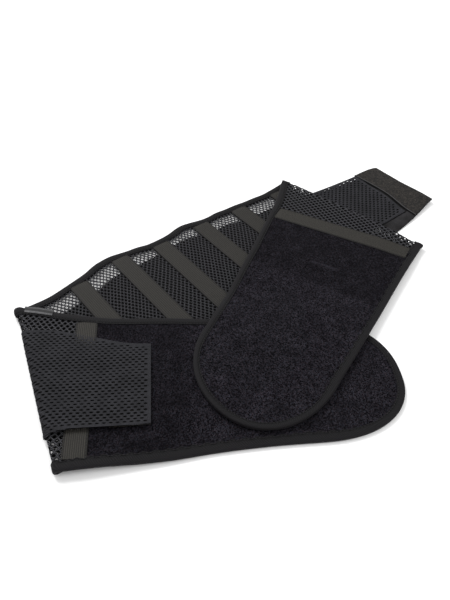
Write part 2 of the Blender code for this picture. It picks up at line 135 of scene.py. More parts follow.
# Rows of place along the belt as a share of BELT_HALF, then upper and lower edge as shares of BELT_HEIGHT
OUTLINE = np.array((
    (-0.848, 0.280, 0.990), (-0.760, 0.262, 0.993), (-0.676, 0.239, 1.008), (-0.609, 0.218, 1.031),
    (-0.498, 0.192, 1.053), (-0.434, 0.150, 1.065), (-0.330, 0.084, 1.062), (-0.264, 0.080, 1.052),
    (-0.229, 0.060, 1.048), (-0.181, 0.027, 1.042), (-0.147, -0.002, 1.038), (-0.124, -0.016, 1.035),
    (-0.090, -0.005, 1.032), (-0.055, 0.015, 1.028), (0.020, 0.014, 1.022), (0.063, -0.008, 1.018),
    (0.104, 0.013, 1.012), (0.195, 0.017, 1.005), (0.260, 0.035, 1.000), (0.300, 0.023, 0.998),
    (0.345, 0.014, 0.996), (0.408, 0.056, 0.986), (0.539, 0.117, 0.966), (0.675, 0.169, 0.953),
    (0.783, 0.211, 0.940), (0.848, 0.228, 0.931),
))
BAND = np.array((
    (-0.579, 0.390, 0.869), (-0.539, 0.376, 0.873), (-0.485, 0.329, 0.873), (-0.448, 0.296, 0.876),
    (-0.412, 0.268, 0.895), (-0.358, 0.254, 0.908), (-0.242, 0.216, 0.914), (-0.186, 0.183, 0.915),
    (-0.127, 0.138, 0.912), (-0.080, 0.138, 0.908), (-0.032, 0.127, 0.904), (0.019, 0.108, 0.900),
    (0.117, 0.136, 0.885), (0.220, 0.169, 0.850), (0.300, 0.180, 0.800), (0.379, 0.207, 0.703),
    (0.440, 0.224, 0.695), (0.4895, 0.242, 0.695),
))
BACKING = np.array((
    (0.360, 0.206, 0.812), (0.420, 0.216, 0.795), (0.480, 0.232, 0.768), (0.512, 0.235, 0.748),
    (0.545, 0.246, 0.725), (0.5560, 0.254, 0.719), (0.5602, 0.262, 0.718),
))
# Places of the stay tapes, as shares of BELT_HALF
STAYS = (-0.2065, -0.1035, -0.0125, 0.0925, 0.1925, 0.3005)


def smooth(x):
    x = np.clip(x, 0.0, 1.0)
    return x * x * (3.0 - 2.0 * x)


def ramp(x, start, run):
    """None up to a start, one from a run past it, and a smooth rise between."""
    return smooth((x - start) / run)


def read_rows(rows, s, column):
    """A column of a table of the belt at places along it in metres, on one smooth curve."""
    at, value = rows[:, 0], rows[:, column]
    slope = np.gradient(value, at)
    x = np.clip(s / BELT_HALF, at[0], at[-1])
    i = np.clip(np.searchsorted(at, x) - 1, 0, len(at) - 2)
    span = at[i + 1] - at[i]
    k = (x - at[i]) / span
    chord = (value[i + 1] - value[i]) / span
    bow = k * (1.0 - k) * span * ((1.0 - k) * (slope[i] - chord) - k * (slope[i + 1] - chord))
    return (value[i] + (value[i + 1] - value[i]) * k + bow) * BELT_HEIGHT


def edge_top(s):
    return read_rows(OUTLINE, s, 1)


def edge_low(s):
    return read_rows(OUTLINE, s, 2)


def band_top(s):
    return read_rows(BAND, s, 1)


def band_low(s):
    return read_rows(BAND, s, 2)


def hook_top(s):
    return read_rows(BACKING, s, 1)


def backing_low(s):
    return read_rows(BACKING, s, 2)


def past_fold(s, t, left=None):
    """The side of a fold, its foot, the distance past its line, the distance down it and its directions."""
    left = s < 0 if left is None else left
    side = np.where(left, -1.0, 1.0)
    foot = np.where(left, LEFT_FOLD_PLACE, RIGHT_FOLD_PLACE)
    lean = np.where(left, LEFT_FOLD_LEAN, RIGHT_FOLD_LEAN)
    down = (side * np.sin(lean), np.cos(lean))
    out = (side * np.cos(lean), -np.sin(lean))
    return side, foot, (s - foot) * out[0] + t * out[1], (s - foot) * down[0] + t * down[1], down, out


def past_fold_mm(p):
    return past_fold(p[:, 0], p[:, 1])[2] / MM


def lying_over(s, t, left=None):
    """The place on the turned cloth that comes to lie over a place of the back."""
    _, foot, beyond, along, down, out = past_fold(s, t, left)
    over_s = foot + (FOLD_LONG - beyond) * out[0] + along * down[0]
    return over_s, (FOLD_LONG - beyond) * out[1] + along * down[1]


def ripple(s, t):
    """How far the back stands up between two stay tapes, near its top edge."""
    up = np.zeros(np.broadcast(s, t).shape)
    places = [share * BELT_HALF for share in STAYS]
    for left, right in zip(places, places[1:]):
        low, high = left + 0.5 * TAPE_WIDE, right - 0.5 * TAPE_WIDE
        across = np.clip((s - low) / (high - low), 0.0, 1.0)
        up = up + RIPPLE * np.sin(math.pi * across) ** 2 * (1.0 - smooth(t / RIPPLE_REACH))
    return up


def left_bed(s, t):
    """Height of the inner face of the left front panel over the back, and on the floor beyond it."""
    return SETTLED - (SETTLED - ON_FLOOR) * smooth((t - edge_low(s)) / DRAPE_RUN)


def left_panel_share(s, t):
    """How far a point in the back's plane lies on the left front panel: one on it, none well outside."""
    over_s, over_t = lying_over(s, t, True)
    held = np.maximum(over_s, -TIP_START)
    middle = 0.5 * (edge_top(held) + edge_low(held))
    half = 0.5 * (edge_low(held) - edge_top(held))
    past = np.maximum(0.0, -over_s - TIP_START)
    aside = np.maximum(0.0, np.abs(over_t - middle) - half + TIP_NARROWS * past)
    return 1.0 - smooth(np.hypot(aside, np.maximum(0.0, past - TIP_LENGTH)) / CLIMB_RUN)


def right_bed(s, t):
    """Height of the inner face of the right front panel: over the back, the left panel, or both."""
    return np.maximum(SETTLED, left_bed(s, t) + LEFT_LAYER * left_panel_share(s, t))


def lay(s, t, h, right=True, outward=0.0):
    """Points of the flat belt, h up in its layers, to their places on the floor."""
    s, t, h = (np.asarray(v, float) for v in np.broadcast_arrays(s, t, h))
    side, foot, beyond, along, down, out = past_fold(s, t)
    flat = (beyond <= 0.0) | ((side > 0) & (not right))
    lift = PULL_LIFT * ramp(s, PULL_LIFT_FROM, PULL_END_PLACE - PULL_LIFT_FROM)
    z_flat = h + np.where(beyond <= 0.0, ripple(s, t), lift)
    deep = h - outward * smooth(beyond / BAND_EASE)
    turn = np.clip(beyond / FOLD_BEND, 0.0, math.pi)
    bent = beyond < FOLD_LONG
    right_bow = RIGHT_BOW * ramp(along, *RIGHT_BOW_RISES) * (1.0 - ramp(along, *RIGHT_BOW_ENDS))
    left_bow = LEFT_BOW * (1.0 - ramp(along, *LEFT_BOW_ENDS))
    pressed = np.where(side > 0, ramp(along, *PRESSED_FROM), 0.0)
    bow = np.where(side > 0, right_bow, left_bow) - PRESSED_IN * pressed
    flatter = PRESSED_FLATTER * pressed
    reach = np.where(bent, (FOLD_AXIS - deep + bow) * np.sin(turn), FOLD_LONG - beyond)
    s_turned = foot + reach * out[0] + along * down[0]
    t_turned = reach * out[1] + along * down[1]
    bed = np.where(side < 0, left_bed(s_turned, t_turned), right_bed(s_turned, t_turned))
    bed = bed + (OVER_FOLD - flatter - bed) * (1.0 - smooth(-reach / SETTLE_RUN))
    middle = FOLD_AXIS - 0.5 * flatter * (1.0 - np.cos(turn))
    z_turned = np.where(bent, middle - (FOLD_AXIS - deep) * np.cos(turn), bed + MESH_HIGH - deep)
    s = np.where(flat, s, s_turned)
    t = np.where(flat, t, t_turned)
    x = s * math.cos(LAY_TURN) + t * math.sin(LAY_TURN) - MIDDLE[0]
    y = s * math.sin(LAY_TURN) - t * math.cos(LAY_TURN) - MIDDLE[1]
    return np.stack((x, y, np.where(flat, z_flat, z_turned)), axis=-1)


def lay_band(s, t, h):
    """The elastic: outside the left fold, straight on past the right one and up onto the plain backing."""
    side, _, beyond, _, _, _ = past_fold(s, t)
    rise = np.where(side < 0, 0.0, BACKING_RISE * smooth(beyond / BACKING_START))
    lifted = LOWER_LIFT * smooth((t - band_low(s)) / LIFT_RUN + 1.0)
    loose = BAND_OUTWARD * smooth((t - band_top(s)) / LOOSE_RUN) + lifted
    return lay(s, t, h + rise, right=False, outward=loose)


def lay_pull(s, t, h):
    """The right pull: its end is drawn in a little towards its upper corner."""
    s, t = np.broadcast_arrays(np.asarray(s, float), np.asarray(t, float))
    near_end = smooth((s - PULL_END_PLACE + END_DRAWN_RUN) / END_DRAWN_RUN)
    return lay(s - END_DRAWN * near_end * (1.0 - ramp(t, *END_DRAWN_ENDS)), t, h, right=False)


# Nodes that the materials share
def to_linear(colour):
    """The linear values of an sRGB hex colour."""
    parts = [int(colour[i : i + 2], 16) / 255.0 for i in (1, 3, 5)]
    return (*[p / 12.92 if p <= 0.04045 else ((p + 0.055) / 1.055) ** 2.4 for p in parts], 1.0)


def add(tree, kind, sockets=None, **settings):
    """A node with its settings. A socket takes a value, or the socket that it is linked from."""
    node = tree.nodes.new(kind)
    for key, value in settings.items():
        setattr(node, key, value)
    for key, value in (sockets or {}).items():
        if isinstance(value, bpy.types.NodeSocket):
            tree.links.new(value, node.inputs[key])
        else:
            node.inputs[key].default_value = value
    return node


def new_material(name, roughness, sheen=0.0, sheen_roughness=0.5, sheen_colour="#ffffff", specular=0.3):
    """A material with its shader, and the flat belt's own coordinates in millimetres."""
    material = bpy.data.materials.new(name)
    material.use_nodes = True
    tree = material.node_tree
    shader = tree.nodes["Principled BSDF"]
    shader.inputs["Roughness"].default_value = roughness
    shader.inputs["Sheen Weight"].default_value = sheen
    shader.inputs["Sheen Roughness"].default_value = sheen_roughness
    shader.inputs["Sheen Tint"].default_value = to_linear(sheen_colour)
    shader.inputs["Specular IOR Level"].default_value = specular
    pattern = add(tree, "ShaderNodeUVMap", uv_map="pattern")
    mm = add(tree, "ShaderNodeMapping", {"Vector": pattern.outputs[0], "Scale": (1000.0, 1000.0, 1.0)})
    return material, tree, shader, mm.outputs[0]


def noise(tree, vector, scale, detail, roughness=0.5):
    sockets = {"Vector": vector, "Scale": scale, "Detail": detail, "Roughness": roughness}
    return add(tree, "ShaderNodeTexNoise", sockets).outputs["Fac"]


def wave(tree, vector, way, scale, distortion=0.0, detail=2.0, detail_scale=1.0):
    sockets = {
        "Vector": vector, "Scale": scale, "Distortion": distortion,
        "Detail": detail, "Detail Scale": detail_scale,
    }
    return add(tree, "ShaderNodeTexWave", sockets, bands_direction=way).outputs["Fac"]


def cells_of(tree, vector, scale, randomness=1.0):
    """Cells, each with a colour of its own and the distance from its middle."""
    sockets = {"Vector": vector, "Scale": scale, "Randomness": randomness}
    return add(tree, "ShaderNodeTexVoronoi", sockets).outputs


def painted_light_of(tree):
    """The light and shade painted on the mesh, much of it from its own relief."""
    return add(tree, "ShaderNodeAttribute", attribute_name="relief_and_painted_light").outputs["Fac"]


def combined(tree, operation, first, second=0.0):
    return add(tree, "ShaderNodeMath", {0: first, 1: second}, operation=operation).outputs[0]


def times(tree, first, second):
    return combined(tree, "MULTIPLY", first, second)


def spread(tree, value, low, high):
    """A value from low to high, spread over none to one."""
    return add(tree, "ShaderNodeMapRange", {0: value, 1: low, 2: high}).outputs[0]


def mixed(tree, share, dark, light):
    """Two colours by a share."""
    mix = add(tree, "ShaderNodeMix", {0: share, 6: to_linear(dark), 7: to_linear(light)}, data_type="RGBA")
    return mix.outputs[2]


def coloured(tree, shader, share, dark, light):
    tree.links.new(mixed(tree, share, dark, light), shader.inputs["Base Color"])


def raised(tree, shader, height, depth):
    """Relief of a real depth in metres."""
    bump = add(tree, "ShaderNodeBump", {"Height": height, "Distance": depth, "Strength": 1.0})
    tree.links.new(bump.outputs[0], shader.inputs["Normal"])


def woven(tree, shader, yarns, painted_light_span, colours, relief, depth):
    """Yarns with their relief. Their colour is also scaled by the mesh's attribute: painted shade in its
    hollows and round its holes, painted light on its crests.
    """
    share = times(tree, yarns, spread(tree, painted_light_of(tree), *painted_light_span))
    coloured(tree, shader, share, *colours)
    raised(tree, shader, relief, depth)


# Knitted polyester net: matt black filaments in chains of loops, which catch light on their round backs.
# Its loops are 0.9 mm, coarser than the real 0.5 mm so that they show
net_black, tree, shader, mm = new_material("knitted_polyester_net", 0.8, 0.03, 0.45, "#9a9aa2", 0.12)
chains = times(tree, wave(tree, mm, "DIAGONAL", 0.35, 2.2, 1.0, 1.2), noise(tree, mm, 1.6, 3.0))
yarns = spread(tree, chains, 0.1, 0.6)
woven(tree, shader, yarns, (0.5, 1.0), ("#0b0b0c", "#5a5a5f"), chains, 0.25 * MM)

# Knitted elastic with slits: flat and even, charcoal, with a faint lengthwise rib from the rubber threads,
# which are 1.2 mm apart, and broad patches where it has rubbed
elastic_charcoal, tree, shader, mm = new_material("knitted_elastic", 0.8, 0.02, 0.5, "#a2a2aa", 0.1)
threads = times(tree, wave(tree, mm, "Y", 0.26, 0.6, 1.0), noise(tree, mm, 1.3, 4.0))
rubbed = spread(tree, noise(tree, mm, 0.05, 2.0), -0.4, 0.6)
yarns = times(tree, spread(tree, threads, 0.1, 0.65), rubbed)
woven(tree, shader, yarns, (0.25, 0.95), ("#070708", "#46464b"), threads, 0.15 * MM)

# Ribbed polyester tape: brownish grey, its ribs in the mesh, its fine weft across them. The weft is 0.7 mm,
# coarser than the real 0.4 mm so that it shows
# Its colour also takes painted shade from the mesh, in the valleys between the ribs and along the stitched
# edges
tape_grey, tree, shader, mm = new_material("ribbed_polyester_tape", 0.65, 0.04, 0.4, "#b4aea2", 0.2)
weft = times(tree, wave(tree, mm, "Y", 0.45, 0.4), noise(tree, mm, 0.9, 4.0))
woven(tree, shader, spread(tree, weft, 0.0, 0.7), (0.0, 0.9), ("#0e0d0c", "#4a4741"), weft, 0.12 * MM)

# Folded binding: soft twill tape, smooth and dark, with a painted highlight along its fold and painted shade
# in the groove of its stitches. Its lines are 0.8 mm apart, coarser than the real 0.5 mm so that they show
binding_black, tree, shader, mm = new_material("twill_binding", 0.75, 0.04, 0.45, "#aaa4aa", 0.15)
twill = times(tree, wave(tree, mm, "DIAGONAL", 0.28, 0.8, 1.0), noise(tree, mm, 0.8, 4.0))
woven(tree, shader, spread(tree, twill, 0.0, 0.6), (0.0, 1.0), ("#050506", "#242225"), twill, 0.15 * MM)

# Brushed loop cloth: a raised nap that swallows light, with single loops that glint grey and violet. Loops
# of 1 mm and bunches of 2.6 mm have each their own light, coarser than the real 0.8 mm so that they show
loop_cloth, tree, shader, mm = new_material("brushed_loop_cloth", 0.95, 0.01, 0.6, "#a8a2ae", 0.04)
loops = cells_of(tree, mm, 1.0)
bunches = spread(tree, cells_of(tree, mm, 0.38)["Color"], -1.7, 0.9)
loop_light = times(tree, spread(tree, loops["Color"], 0.25, 0.85), bunches)
nap_light = times(tree, loop_light, spread(tree, noise(tree, mm, 0.06, 3.0), -0.1, 0.75))
# From 380 mm on, on either side, the cloth's colour is lighter, and nearer the seam darker: painted light and
# shade
far = combined(tree, "ABSOLUTE", add(tree, "ShaderNodeSeparateXYZ", {0: mm}).outputs[0])
lies = add(tree, "ShaderNodeMapRange", {0: far, 1: 372.0, 2: 386.0, 3: 0.62, 4: 0.97}).outputs[0]
# The painted highlights along creases come in from the mesh's attribute, on top
lit = combined(tree, "ADD", times(tree, nap_light, lies), spread(tree, painted_light_of(tree), 0.0, 2.0))
hue = spread(tree, noise(tree, mm, 0.45, 2.0), 0.35, 0.65)
grey, violet = mixed(tree, lit, "#030305", "#33343c"), mixed(tree, lit, "#040304", "#393339")
cloth_colour = add(tree, "ShaderNodeMix", {0: hue, 6: grey, 7: violet}, data_type="RGBA")
tree.links.new(cloth_colour.outputs[2], shader.inputs["Base Color"])
raised(tree, shader, loops["Distance"], 0.5 * MM)

# Hook tape: dense small hooks on a woven ground, brownish black with a dull shine. The hooks are 1.7 mm
# apart, coarser than the real 1.2 mm so that they show, each with its own share of light
hook_black, tree, shader, mm = new_material("hook_tape", 0.6, 0.03, 0.4, "#a09a90", 0.2)
hooks = cells_of(tree, mm, 0.6, 0.6)
worn = spread(tree, noise(tree, mm, 0.2, 4.0), 0.1, 0.8)
coloured(tree, shader, times(tree, spread(tree, hooks["Color"], 0.3, 0.8), worn), "#070605", "#332e2a")
raised(tree, shader, combined(tree, "SUBTRACT", 1.0, hooks["Distance"]), 0.35 * MM)

# Brushed tricot: the pull's plain backing, soft and even with a short nap
tricot_black, tree, shader, mm = new_material("brushed_tricot", 0.9, 0.04, 0.5, "#a8a09a", 0.1)
nap = noise(tree, mm, 0.9, 5.0, 0.65)
clouds = spread(tree, times(tree, nap, noise(tree, mm, 0.05, 2.0)), 0.1, 0.45)
# Its colour takes painted shade from the mesh, under the elastic and just below its lower edge
coloured(tree, shader, times(tree, clouds, painted_light_of(tree)), "#080808", "#333234")
raised(tree, shader, nap, 0.2 * MM)

# Satin ribbon: long floating threads. The bright streaks along the label and the line along the piping are
# painted highlights from the mesh's attribute
satin_grey, tree, shader, mm = new_material("satin_ribbon", 0.5, 0.01, 0.3, "#ffffff", 0.15)
floats = noise(tree, mm, 0.5, 3.0)
coloured(tree, shader, times(tree, painted_light_of(tree), spread(tree, floats, 0.0, 0.7)), "#0a0a0b", "#6e6e70")
raised(tree, shader, floats, 0.1 * MM)

# Polyester sewing thread: smooth, in plies of 0.5 mm, with a soft line of light on each stitch
thread_black, tree, shader, _ = new_material("polyester_thread", 0.55, 0.02, 0.3, "#b0b0b4", 0.25)
ply = wave(tree, add(tree, "ShaderNodeTexCoord").outputs["Object"], "DIAGONAL", 600.0)
coloured(tree, shader, ply, "#0c0b0d", "#1f1d20")
raised(tree, shader, ply, 0.05 * MM)

# White seamless paper: matt, so the belt's own soft shadow is all that marks it
paper_white, tree, shader, _ = new_material("white_paper", 0.9, specular=0.1)
grain = noise(tree, add(tree, "ShaderNodeTexCoord").outputs["Object"], 40.0, 2.0)
coloured(tree, shader, grain, "#f6f6f6", "#fafafa")


# Meshes
def link(name, data):
    """A new object in the scene, of a mesh or a light."""
    piece = bpy.data.objects.new(name, data)
    bpy.context.scene.collection.objects.link(piece)
    return piece


def numbers_of(items, key, size, kind):
    """One property of all the items of a mesh, as an array."""
    values = np.zeros(size * len(items), kind)
    items.foreach_get(key, values)
    return values


def new_piece(name, points, faces, material, pattern, relief_and_painted_light, sharp):
    """A finished mesh with its faces outwards, its place on the flat belt, and its relief and painted light
    and shade kept on it.
    """
    mesh = bpy.data.meshes.new(name)
    mesh.from_pydata(np.asarray(points).tolist(), [], faces)
    mesh.update()
    mesh.materials.append(material)
    corner = numbers_of(mesh.loops, "vertex_index", 1, np.int32)
    layer = mesh.uv_layers.new(name="pattern")
    layer.data.foreach_set("uv", np.asarray(pattern, np.float32)[corner].ravel())
    relief = mesh.attributes.new("relief_and_painted_light", "FLOAT", "POINT")
    relief.data.foreach_set("value", np.asarray(relief_and_painted_light, np.float32))
    mesh.calc_loop_triangles()
    corners = numbers_of(mesh.loop_triangles, "vertices", 3, np.int32)
    a, b, c = np.asarray(points)[corners.reshape(-1, 3)].transpose(1, 0, 2)
    if np.einsum("ij,ij->i", a, np.cross(b, c)).sum() < 0.0:
        mesh.flip_normals()
    mesh.shade_smooth()
    mesh.set_sharp_from_angle(angle=math.radians(sharp))
    return link(name, mesh)


def grid_faces(rows, wide):
    a = (np.arange(rows - 1)[:, None] * wide + np.arange(wide - 1)[None, :]).ravel()
    return np.stack((a, a + 1, a + wide + 1, a + wide), axis=1).tolist()


def thick_cloth(name, flat, faces, low, high, place, material, relief_and_painted_light=None, sharp=40.0, under_relief_and_painted_light=None):
    """A closed cloth from a flat one. Each edge that only one face has gets a wall."""
    count = len(flat)
    points = np.concatenate((place(flat[:, 0], flat[:, 1], high), place(flat[:, 0], flat[:, 1], low)))
    edges = {(f[i - 1], f[i]) for f in faces for i in range(len(f))}
    walls = [(b, a, a + count, b + count) for a, b in edges if (b, a) not in edges]
    under = [[v + count for v in reversed(f)] for f in faces]
    relief_and_painted_light = np.ones(count) if relief_and_painted_light is None else relief_and_painted_light
    under_relief_and_painted_light = relief_and_painted_light if under_relief_and_painted_light is None else under_relief_and_painted_light
    return new_piece(name, points, list(faces) + under + sorted(walls), material,
                     np.concatenate((flat, flat)), np.concatenate((relief_and_painted_light, under_relief_and_painted_light)), sharp)


# Points nearer than this are one. The odd shift keeps the lattice's points off the rounding's borders
WELD = 4e-6
WELD_SHIFT = 1.37e-7


def welded(points, faces, values):
    """Points in the same place made one, and the faces that collapse dropped."""
    whole = np.round((points + WELD_SHIFT) / WELD).astype(np.int64)
    key = whole[:, 0] * (1 << 32) + whole[:, 1]
    _, first, index = np.unique(key, return_index=True, return_inverse=True)
    kept = []
    for face in faces:
        ring = [int(index[v]) for v in face]
        ring = [v for i, v in enumerate(ring) if v != ring[i - 1]]
        if len(ring) > 2:
            kept.append(ring)
    return points[first], kept, values[first]


# What repeats, by Geometry Nodes
def new_tree(name, inputs):
    """A Geometry Nodes tree with named inputs, its group input, and the inputs' identifiers."""
    tree = bpy.data.node_groups.new(name, "GeometryNodeTree")
    for way in ("INPUT", "OUTPUT"):
        tree.interface.new_socket("Geometry", in_out=way, socket_type="NodeSocketGeometry")
    marks = {}
    for label, kind in inputs:
        socket = tree.interface.new_socket(label, in_out="INPUT", socket_type="NodeSocket" + kind)
        marks[label] = socket.identifier
    return tree, add(tree, "NodeGroupInput").outputs, marks


def end_tree(tree, geometry, material):
    coated = add(tree, "GeometryNodeSetMaterial", {"Geometry": geometry, "Material": material})
    add(tree, "NodeGroupOutput", {0: coated.outputs[0]})


def run_tree(name, source, tree, marks, values):
    """The plain mesh that a tree makes of a source mesh."""
    carrier = link(name, source)
    modifier = carrier.modifiers.new(name, "NODES")
    modifier.node_group = tree
    for label, value in values.items():
        modifier[marks[label]] = value
    graph = bpy.context.evaluated_depsgraph_get()
    made = bpy.data.meshes.new_from_object(carrier.evaluated_get(graph), depsgraph=graph)
    bpy.data.objects.remove(carrier)
    return made


# Cells side by side: each point gets the same cell of cloth, and cells share their edges
cell_tree, given, cell_marks = new_tree("cloth_cells", (("Cell", "Object"), ("Cloth", "Material")))
cell_shape = add(cell_tree, "GeometryNodeObjectInfo", {"Object": given["Cell"]}).outputs["Geometry"]
cells = add(cell_tree, "GeometryNodeInstanceOnPoints", {"Points": given["Geometry"], "Instance": cell_shape})
real = add(cell_tree, "GeometryNodeRealizeInstances", {"Geometry": cells.outputs[0]})
end_tree(cell_tree, real.outputs[0], given["Cloth"])

# Stitches in a row: a short thread at each step of a line, thick in its middle and sunk at its ends
stitch_tree, given, stitch_marks = new_tree("stitches", (
    ("Step", "Float"), ("Long", "Float"), ("Thick", "Float"), ("Seed", "Int"), ("Thread", "Material"),
))
line = add(stitch_tree, "GeometryNodeMeshToCurve", {"Mesh": given["Geometry"]}).outputs[0]
steps = add(stitch_tree, "GeometryNodeResampleCurve", {"Curve": line, "Length": given["Step"]}, mode="LENGTH")
ahead = add(stitch_tree, "GeometryNodeInputTangent")
turned = add(stitch_tree, "FunctionNodeAlignRotationToVector", {"Vector": ahead.outputs[0]}, axis="X")
bead = add(stitch_tree, "GeometryNodeMeshUVSphere", {"Segments": 6, "Rings": 4, "Radius": 0.5})
uneven = add(stitch_tree, "FunctionNodeRandomValue", {"Min": 0.88, "Max": 1.06, "Seed": given["Seed"]})
length = times(stitch_tree, given["Long"], uneven.outputs[1])
size = add(stitch_tree, "ShaderNodeCombineXYZ", {0: length, 1: given["Thick"], 2: given["Thick"]})
threads = add(stitch_tree, "GeometryNodeInstanceOnPoints", {
    "Points": steps.outputs[0], "Instance": bead.outputs[0],
    "Rotation": turned.outputs[0], "Scale": size.outputs[0],
})
real = add(stitch_tree, "GeometryNodeRealizeInstances", {"Geometry": threads.outputs[0]})
round_off = add(stitch_tree, "GeometryNodeSetShadeSmooth", {"Geometry": real.outputs[0]})
end_tree(stitch_tree, round_off.outputs[0], given["Thread"])

STITCH_STEP = 0.0034
STITCH_LONG = 0.0030
THREAD_THICK = 0.0006


def stitches(name, lines, seed):
    """Rows of stitches along lines of points."""
    points, edges = [], []
    for row in lines:
        start = len(points)
        points += np.asarray(row).tolist()
        edges += [(start + i, start + i + 1) for i in range(len(row) - 1)]
    source = bpy.data.meshes.new(name)
    source.from_pydata(points, edges, [])
    sizes = {"Step": STITCH_STEP, "Long": STITCH_LONG, "Thick": THREAD_THICK}
    made = run_tree(name, source, stitch_tree, stitch_marks, {**sizes, "Seed": seed, "Thread": thread_black})
    made.name = name
    return link(name, made)


# Relief of the rings of a cell: its border, its middle ring and its hole. The same values darken the colour
# towards the hole, as painted shade
BORDER_CREST, MIDDLE_CREST, HOLE_CREST = 1.0, 0.8, 0.0


def ring_cell(outer, hole, middle=None):
    """One cell of cloth: its rings from border to hole, with their relief kept as height, and its faces."""
    wide = len(outer)
    rings = [(outer, BORDER_CREST), (middle, MIDDLE_CREST), (hole, HOLE_CREST)]
    rings = [np.column_stack((ring, np.full(wide, relief_and_painted_light))) for ring, relief_and_painted_light in rings if ring is not None]
    faces = []
    for k in range(len(rings) - 1):
        for i in range(wide):
            j = (i + 1) % wide
            faces.append((k * wide + i, k * wide + j, (k + 1) * wide + j, (k + 1) * wide + i))
    return np.concatenate(rings), faces


def repeat_cell(name, centres, points, faces, material):
    """A flat cloth of one cell repeated, as points with their relief, and faces."""
    if not len(centres):
        return np.zeros((0, 3)), []
    one = bpy.data.meshes.new(name + "_cell")
    one.from_pydata((points * MM).tolist(), [], faces)
    holder = link(name + "_cell", one)
    dots = bpy.data.meshes.new(name)
    dots.from_pydata(np.column_stack((centres * MM, np.zeros(len(centres)))).tolist(), [], [])
    made = run_tree(name, dots, cell_tree, cell_marks, {"Cell": holder, "Cloth": material})
    bpy.data.objects.remove(holder)
    places = numbers_of(made.vertices, "co", 3, np.float32)
    corner = numbers_of(made.loops, "vertex_index", 1, np.int32)
    bpy.data.meshes.remove(made)
    return places.reshape(-1, 3).astype(float) / MM, corner.reshape(-1, 4).tolist()


def cut_ring(ring, inside):
    """A polygon cut off where a value falls below none."""
    values = inside(ring)
    kept = []
    for i in range(len(ring)):
        a, b, va, vb = ring[i - 1], ring[i], values[i - 1], values[i]
        if (va < 0.0) != (vb < 0.0):
            first, last, vf, vl = (a, b, va, vb) if va < vb else (b, a, vb, va)
            kept.append(first + (last - first) * (-vf / (vl - vf)))
        if vb >= 0.0:
            kept.append(b)
    return np.array(kept).reshape(-1, 2)


def punched_cloth(name, centres, outer, cells, warp, limits, clear, material):
    """A flat cloth of holes in a staggered lattice in mm, cut to its limits, with its relief.
    outer is the border of a cell. cells are (chooses which centres, hole, middle ring). limits give the
    distance inside each edge of the cloth, and a hole stays clear of them."""
    corners = centres[:, None, :] + outer[None, :, :]
    places = warp(corners.reshape(-1, 2))
    at = warp(centres)
    depth = np.min([limit(places) for limit in limits], axis=0).reshape(len(centres), -1)
    whole = depth.min(axis=1) > 0.0
    cut = ~whole & (depth.max(axis=1) > 0.0)
    holed = whole & (np.min([limit(at) for limit in limits], axis=0) > clear)
    points, faces, values = [], [], []
    total = 0

    def take(new_points, new_faces, new_values):
        nonlocal total
        points.append(new_points)
        values.append(new_values)
        faces.extend([[v + total for v in f] for f in new_faces])
        total += len(new_points)

    left = holed.copy()
    for chooses, hole, middle in cells:
        mine = left & chooses(at)
        left &= ~mine
        made, made_faces = repeat_cell(name, centres[mine], *ring_cell(outer, hole, middle), material)
        if len(made):
            take(warp(made[:, :2]), made_faces, made[:, 2])
    rings = places.reshape(len(centres), -1, 2)
    for i in np.flatnonzero((whole & ~holed) | cut):
        ring = rings[i]
        if cut[i]:
            for limit in limits:
                ring = cut_ring(ring, limit) if len(ring) else ring
        if len(ring) > 2:
            take(ring, [list(range(len(ring)))], np.ones(len(ring)))
    return welded(np.concatenate(points), faces, np.concatenate(values))


def staggered(pitch, row, low, high):
    """Centres of a staggered lattice in mm between two corners."""
    rows = np.arange(math.floor(low[1] / row), math.ceil(high[1] / row) + 1)
    columns = np.arange(math.floor(low[0] / pitch) - 1, math.ceil(high[0] / pitch) + 2)
    return np.array([((c + 0.5 * (r % 2)) * pitch, r * row) for r in rows for c in columns])


def six_sided(pitch, row, flank):
    """Border of a cell that tiles a staggered lattice, from its top round to the right."""
    half, tip = 0.5 * pitch, row - flank
    return [(0.0, -tip), (half, -flank), (half, flank), (0.0, tip), (-half, flank), (-half, -flank)]


def everywhere(p):
    return np.ones(len(p), bool)


# The net, in mm but for what lies in the layers
NET_PITCH = 5.0
NET_ROW = 3.85
NET_FLANK = 0.95
NET_FOLLOWS = 0.8
NET_STRETCH = 0.3
STRIP_FROM = 3.0
STRIP_EASE = 4.0
NET_RELIEF = 0.00030
NET_THIN_LOW = 0.0008
NET_THIN_HIGH = 0.0003
STRIP_LOWER = 0.0006
STRIP_THINNER = 0.0003
NET_CLEAR = 0.002
# The net under a strip that is folded over it lies in shade, on the left down to a place
UNDER_STRIP_SHADE = 0.35
OVER_BAND_SHADE = 0.88
LEFT_SHUT_TO = 0.150
STRIP_OVER_SEAM = 0.004
STRIP_OVER_FOLD = 0.002
BESIDE_TAPE = 0.003


def oval(wide, tall, square):
    """Eight points round a hole, from its top round to the right. square is how far its corners stand out."""
    a, b = 0.5 * wide, 0.5 * tall
    return np.array(((0.0, -b), (a * square, -b * square), (a, 0.0), (a * square, b * square),
                     (0.0, b), (-a * square, b * square), (-a, 0.0), (-a * square, -b * square)))


def net_warp(p):
    """The net's own mm to the flat belt: its rows follow the top edge, and it is stretched past the folds."""
    s, t = p[:, 0] * MM, p[:, 1] * MM
    t = t + NET_FOLLOWS * edge_top(s)
    side, _, beyond, _, _, _ = past_fold(s, t)
    return np.column_stack((s + side * NET_STRETCH * np.maximum(0.0, beyond), t))


def between_tapes(p):
    """Whether a place of the back shows between the stay tapes."""
    clear = everywhere(p)
    for share in STAYS:
        clear &= np.abs(p[:, 0] - share * BELT_HALF) > 0.5 * TAPE_WIDE - BESIDE_TAPE
    return clear


